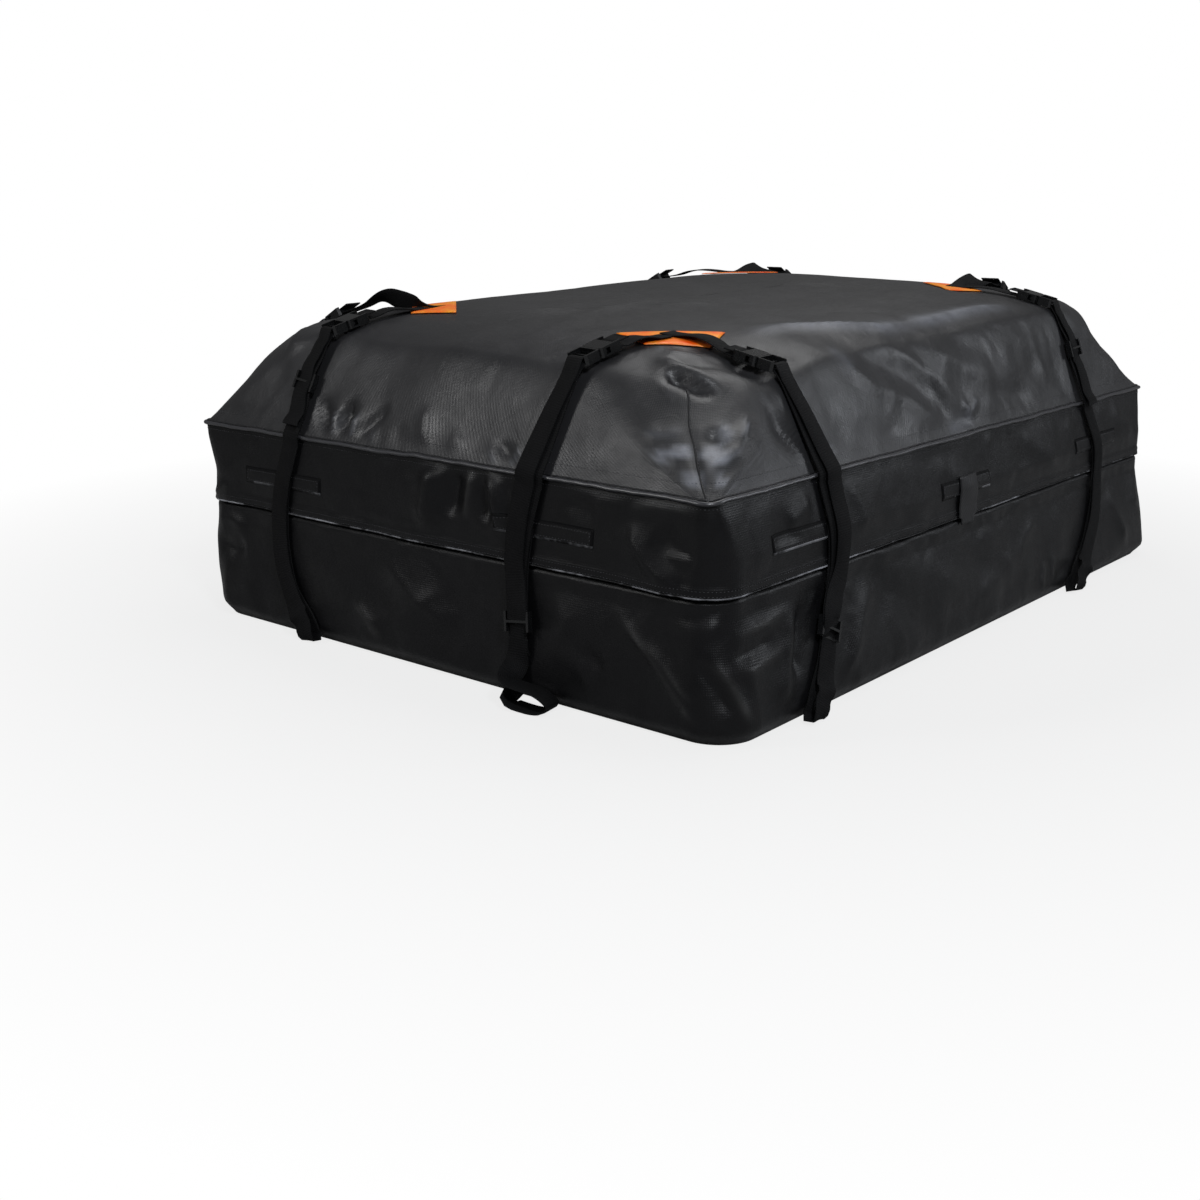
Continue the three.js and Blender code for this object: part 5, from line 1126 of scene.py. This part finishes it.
# A bar stands at each end of a buckle, and the webbing laps round it at this far from its axis.
BUCKLE_HALF_LENGTH, BAR_RADIUS, BAR_HEIGHT, LAP_HALF = 26.7, 2.25, 5.5, 3.2
BAR_LAP, BAR_PLACE = BAR_RADIUS + 1.3, BUCKLE_HALF_LENGTH - BAR_RADIUS
for name, (side, _, corner, _) in STRAP_RUNS.items():
    out, along = SIDES[side]
    middle, ahead, across, above = buckle_place(name)
    lock = slip_lock_middle(name)
    bar = middle + ahead * BAR_PLACE + above * BAR_HEIGHT
    up = strap_up(name)
    start, goal = up[-1], bar - above * 3.3 + ahead * 6
    slope = []
    for share in (0.14, 0.3, 0.46, 0.62, 0.78, 0.9):
        point = start + (goal - start) * share
        point[2] = max(point[2], lid_height(point[0], point[1]) + 2.2)
        slope.append(point)
    if lock[2] > SLOPE_LOCKS_Z:
        below = [p for p in slope if p[2] < lock[2] - 12]
        slope = below + [lock] + [p for p in slope if p[2] > lock[2] + 12]
    to_bar = bar + ahead * 2 - above * LAP_HALF
    lower = through(strap_down_and_loop(name) + up + slope + [to_bar], 5)
    crosswise = across if across @ -along > 0 else -across
    share = np.arange(len(lower)) / len(lower)
    turn = smooth(share, 0.8, 0.96)[:, None]
    lower_across = -along * (1 - turn) + crosswise * turn
    way = loop_way(name)
    near_loop = (1 - smooth(lower[:, 2], 24, 62))[:, None]
    hand = math.copysign(1, -along @ (-out[1], out[0], 0))
    round_loop = hand * np.array([-way[1], way[0], 0])
    lower_across = lower_across * (1 - near_loop) + round_loop * near_loop
    lap = through([to_bar, bar - ahead - above * LAP_HALF, bar - ahead * BAR_LAP,
                   bar - ahead + above * LAP_HALF, bar + ahead * 4 + above * 3.4], 2.5)[1:]
    ends_at = TAIL_ENDS.get(name, lock[2] - 3)
    tail_part = [i for i in range(len(lower) // 2, len(lower))
                 if lower[i][2] > ends_at and (bar - lower[i]) @ (bar - lower[i]) > 15 ** 2]
    back = lower[tail_part][::-1]
    tangent = np.gradient(lower, axis=0)[tail_part][::-1]
    outward = np.cross(tangent, lower_across[tail_part][::-1])
    outward /= np.linalg.norm(outward, axis=1)[:, None]
    outward *= np.sign(outward @ (out + (0, 0, 1)))[:, None]
    gone = np.linspace(0, 1, len(back))
    from_lock = np.linalg.norm(back - lock, axis=1)
    near_lock = np.exp(-((from_lock / 16) ** 2))
    if lock[2] < SLOPE_LOCKS_Z:
        near_lock = 1 - smooth(from_lock, 40, 66)
    aside = TAIL_ASIDE[name] * np.sin(np.pi * np.clip(gone * 1.15, 0, 1)) * (1 - near_lock)
    aside = aside + crumple(back, 60, 61) * 1.2 * smooth(gone, 0, 0.3) * (1 - near_lock)
    slack = (1.1 + crumple(back, 45, 67)) * np.sin(np.pi * gone)
    lift = 2.5 + slack * (1 - near_lock) - 0.6 * near_lock
    if name in TAIL_ENDS:
        lift = lift + 5 * smooth(gone, 0.85, 1.0)
    back = back + outward * lift[:, None] + along * aside[:, None]
    line = np.vstack([lower, lap, back])
    crossing = np.vstack([lower_across, np.repeat(crosswise[None], len(lap), 0),
                          lower_across[tail_part][::-1]])
    strap = ribbon(f"long_strap_{name}_webbing", line, crossing)
    strap.data.materials.append(webbing_black)
    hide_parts(f"long_strap_{name}")
    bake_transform(strap)

    patch = np.array(PATCH_MIDDLES[corner], float)
    patch -= np.sign(patch) * MEETING_INWARD.get(name, 0)
    rear = middle - ahead * BAR_PLACE + above * BAR_HEIGHT
    towards = patch - rear[:2]
    length = np.linalg.norm(towards)
    towards /= length
    end = length + (9 if side in ("front", "back") else -14)
    stations = [rear - ahead * 16 + above * 3.0, rear - ahead * 2 + above * 3.3,
                rear + ahead * 2 + above * LAP_HALF, rear + ahead * BAR_LAP,
                rear + ahead - above * LAP_HALF, rear - ahead * 3 - above * LAP_HALF]
    for share in (0.2, 0.35, 0.5, 0.65, 0.8, 1.0):
        spot = rear[:2] + towards * end * share
        rise = HUMPS[name] * math.sin(math.pi * min(share / 0.85, 1)) ** 1.5
        stations.append(np.array([spot[0], spot[1], lid_height(*spot) + 3.0 + rise]))
    line = through(stations, 4)
    flat = np.array([-towards[1], towards[0], 0])
    flat = flat if flat @ across > 0 else -flat
    share = (np.arange(len(line)) / len(line))[:, None]
    turn = smooth(share, 0.3, 0.6)
    lying = across * (1 - turn) + flat * turn
    twisted = smooth(share, 0.35, 0.6) * smooth(1 - share, 0.02, 0.25)
    twist = np.radians(TWISTS.get(name, 0)) * twisted
    strap = ribbon(f"short_strap_{name}_webbing", line,
                   lying * np.cos(twist) + np.array([0, 0, 1]) * np.sin(twist))
    strap.data.materials.append(webbing_black)
    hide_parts(f"short_strap_{name}")
    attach(strap, "bag")

# Buckles and slip-locks. Side-release buckles and ladder locks moulded in black acetal, with
# a satin skin from the mould and edges rounded by just under a millimetre.
acetal, tree, shader = new_finish("acetal_moulded", Roughness=0.3)
place = add_node(tree, "ShaderNodeTexCoord").outputs["Object"]
mould = add_node(tree, "ShaderNodeTexNoise", {"Vector": place, "Scale": 260, "Detail": 3})
skin = add_node(tree, "ShaderNodeMapRange",
                {"Value": mould.outputs["Fac"], "To Min": 0.2, "To Max": 0.34})
tree.links.new(skin.outputs["Result"], shader.inputs["Roughness"])
tone = add_node(tree, "ShaderNodeMixRGB",
                {"Fac": mould.outputs["Fac"], "Color1": linear("#0a0a0b"),
                 "Color2": linear("#131415")})
tree.links.new(tone.outputs["Color"], shader.inputs["Base Color"])
for name in STRAP_RUNS:
    for kind in ("buckle_female", "buckle_male", "slip_lock"):
        finish_solid(f"{kind}_{name}", acetal)
        rounding = cad_nodes[f"{kind}_{name}"].modifiers.new("rounded", "BEVEL")
        rounding.width = 0.0009
        rounding.segments = 2
        rounding.limit_method = "ANGLE"

# Corner patches. Trapezoids of orange reflective cloth, sewn flat on the lid under the ends of
# each corner's two straps. Their cut edges are pressed down by the stitches.
# Polyester cloth with glass beads: bright, with lighter yellow clouds at random as painted
# highlight where the beads would shine.
orange, tree, shader = new_finish("reflective_orange_cloth", Roughness=0.42)
place = add_node(tree, "ShaderNodeTexCoord").outputs["Object"]
bead_highlight_noise = add_node(tree, "ShaderNodeTexNoise",
                 {"Vector": place, "Scale": 26, "Detail": 4, "Roughness": 0.6})
shine = add_node(tree, "ShaderNodeMapRange",
                 {"Value": bead_highlight_noise.outputs["Fac"], "From Min": 0.35, "From Max": 0.65})
glow = add_node(tree, "ShaderNodeMixRGB",
                {"Fac": shine.outputs["Result"], "Color1": linear("#ff5208"),
                 "Color2": linear("#ffa52c")})
tree.links.new(glow.outputs["Color"], shader.inputs["Base Color"])
grain = add_node(tree, "ShaderNodeTexNoise", {"Vector": place, "Scale": 700, "Detail": 2})
grained = add_node(tree, "ShaderNodeBump",
                   {"Height": grain.outputs["Fac"], "Strength": 0.3, "Distance": 0.0003})
tree.links.new(grained.outputs["Normal"], shader.inputs["Normal"])
patch_lines = []
for name, (x, y) in PATCH_MIDDLES.items():
    away = corner_way(x, y)
    cross = np.array([-away[1], away[0]])
    rows = []
    for i in range(15):
        depth = -PATCH_DEPTH / 2 + PATCH_DEPTH * i / 14
        half = (PATCH_FAR + (PATCH_NEAR - PATCH_FAR) * i / 14) / 2
        row = []
        for k in range(29):
            spot = np.array([x, y]) + away * depth + cross * (-half + 2 * half * k / 28)
            edge = 0.9 if i in (0, 14) or k in (0, 28) else 1.5
            row.append((spot[0], spot[1], lid_height(*spot) + edge))
        rows.append(row)
    inner = np.array(rows)
    edges = [inner[1, 1:-1], inner[1:-1, -2], inner[-2, -2:0:-1], inner[-2:0:-1, 1]]
    patch_lines.append(np.vstack(edges) + (0, 0, 0.2))
    patch = cloth_sheet(f"corner_patch_{name}_cloth", rows, closed=False)
    patch.data.materials.append(orange)
    thicken(patch, 1.2, -1)
    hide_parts(f"corner_patch_{name}")
    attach(patch, "bag")
lockstitches("corner_patch_stitches", patch_lines)
dart_line = through(NEAR_DART, 4)
for point in dart_line:
    point[2] = lid_height(point[0], point[1]) + 0.3
lockstitches("dart_stitches", [dart_line + (3.2, 2.4, 1.2), dart_line + (-2.0, -3.4, 0.8)])
# Painted shade: a dark cord sunk in the dart's groove along its seam, for the shade in the groove.
dart_sideways = np.repeat(np.array([[0.63, -0.77, 0]]), len(dart_line), 0)
dart_rows = round_section(dart_line - (0, 0, 0.2), dart_sideways, 1.3, 8)
dart_shade_cord = cloth_sheet("dart_seam_shade_cord", dart_rows, closed=False)
dart_shade_cord.data.materials.append(binding)
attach(dart_shade_cord, "bag")

# Floor and light. A plain pale floor that the eye sees white but for the bag's own shadow, a
# wide soft lamp overhead, two smaller ones at the front, and a weak one at the left.


def seen_white(tree, mirrored):
    """1 for the eye's own rays, a small share for reflections, and 0 for all other light."""
    path = add_node(tree, "ShaderNodeLightPath").outputs
    shown = add_node(tree, "ShaderNodeMath",
                     {0: path["Is Glossy Ray"], 1: path["Is Transmission Ray"]}, operation="ADD")
    dimmed = add_node(tree, "ShaderNodeMath", {0: shown.outputs["Value"], 1: mirrored},
                      operation="MULTIPLY")
    seen = add_node(tree, "ShaderNodeMath", {0: path["Is Camera Ray"], 1: dimmed.outputs["Value"]},
                    operation="ADD")
    return seen.outputs["Value"]


floor_mesh = bpy.data.meshes.new("floor")
floor_mesh.from_pydata([(-30, -30, 0), (30, -30, 0), (30, 30, 0), (-30, 30, 0)], [], [(0, 1, 2, 3)])
floor = new_piece("floor", floor_mesh)
paper, tree, shader = new_finish("white_paper", Roughness=0.9)
shader.inputs["Base Color"].default_value = linear("#a4a4a4")
shader.inputs["Specular IOR Level"].default_value = 0
place = add_node(tree, "ShaderNodeTexCoord").outputs["Object"]
away = add_node(tree, "ShaderNodeVectorMath", {0: place}, operation="LENGTH").outputs["Value"]
bright = add_node(tree, "ShaderNodeMapRange",
                  {"Value": away, "From Min": 0.7, "From Max": 1.5, "To Min": 0.8, "To Max": 1.0})
share = add_node(tree, "ShaderNodeMath", {0: seen_white(tree, 0.06), 1: bright.outputs["Result"]},
                 operation="MULTIPLY")
white = add_node(tree, "ShaderNodeEmission", {"Color": (1, 1, 1, 1), "Strength": 1.0})
blended = add_node(tree, "ShaderNodeMixShader",
                   {0: share.outputs["Value"], 1: shader.outputs["BSDF"],
                    2: white.outputs["Emission"]})
tree.links.new(blended.outputs["Shader"], tree.nodes["Material Output"].inputs["Surface"])
floor_mesh.materials.append(paper)
world = bpy.data.worlds.new("studio")
bpy.context.scene.world = world
world.use_nodes = True
sky = world.node_tree
level = add_node(sky, "ShaderNodeMapRange",
                 {"Value": seen_white(sky, 0.05), "To Min": 0.07, "To Max": 1.0})
sky.links.new(level.outputs["Result"], sky.nodes["Background"].inputs["Strength"])
sky.nodes["Background"].inputs["Color"].default_value = (1, 1, 1, 1)
BAG_MIDDLE = Vector((0, 0, 0.2))
for name, spot, size, power, colour in (
    ("overhead", (0.8, 0.0, 2.5), 1.8, 28, (1, 1, 1)),
    ("right_front", (2.3, -2.6, 1.5), 0.9, 21, (0.9, 0.94, 1)),
    ("near_corner", (-1.55, -1.9, 2.2), 0.4, 42, (0.92, 0.95, 1)),
    ("left_side", (-1.95, 0.85, 1.3), 0.5, 10, (1, 1, 1)),
):
    lamp = bpy.data.lights.new(name, "AREA")
    lamp.size = size
    lamp.energy = power
    lamp.color = colour
    holder = new_piece(name, lamp)
    holder.location = spot
    holder.rotation_euler = (BAG_MIDDLE - Vector(spot)).to_track_quat("-Z", "Y").to_euler()

bpy.context.view_layer.update()
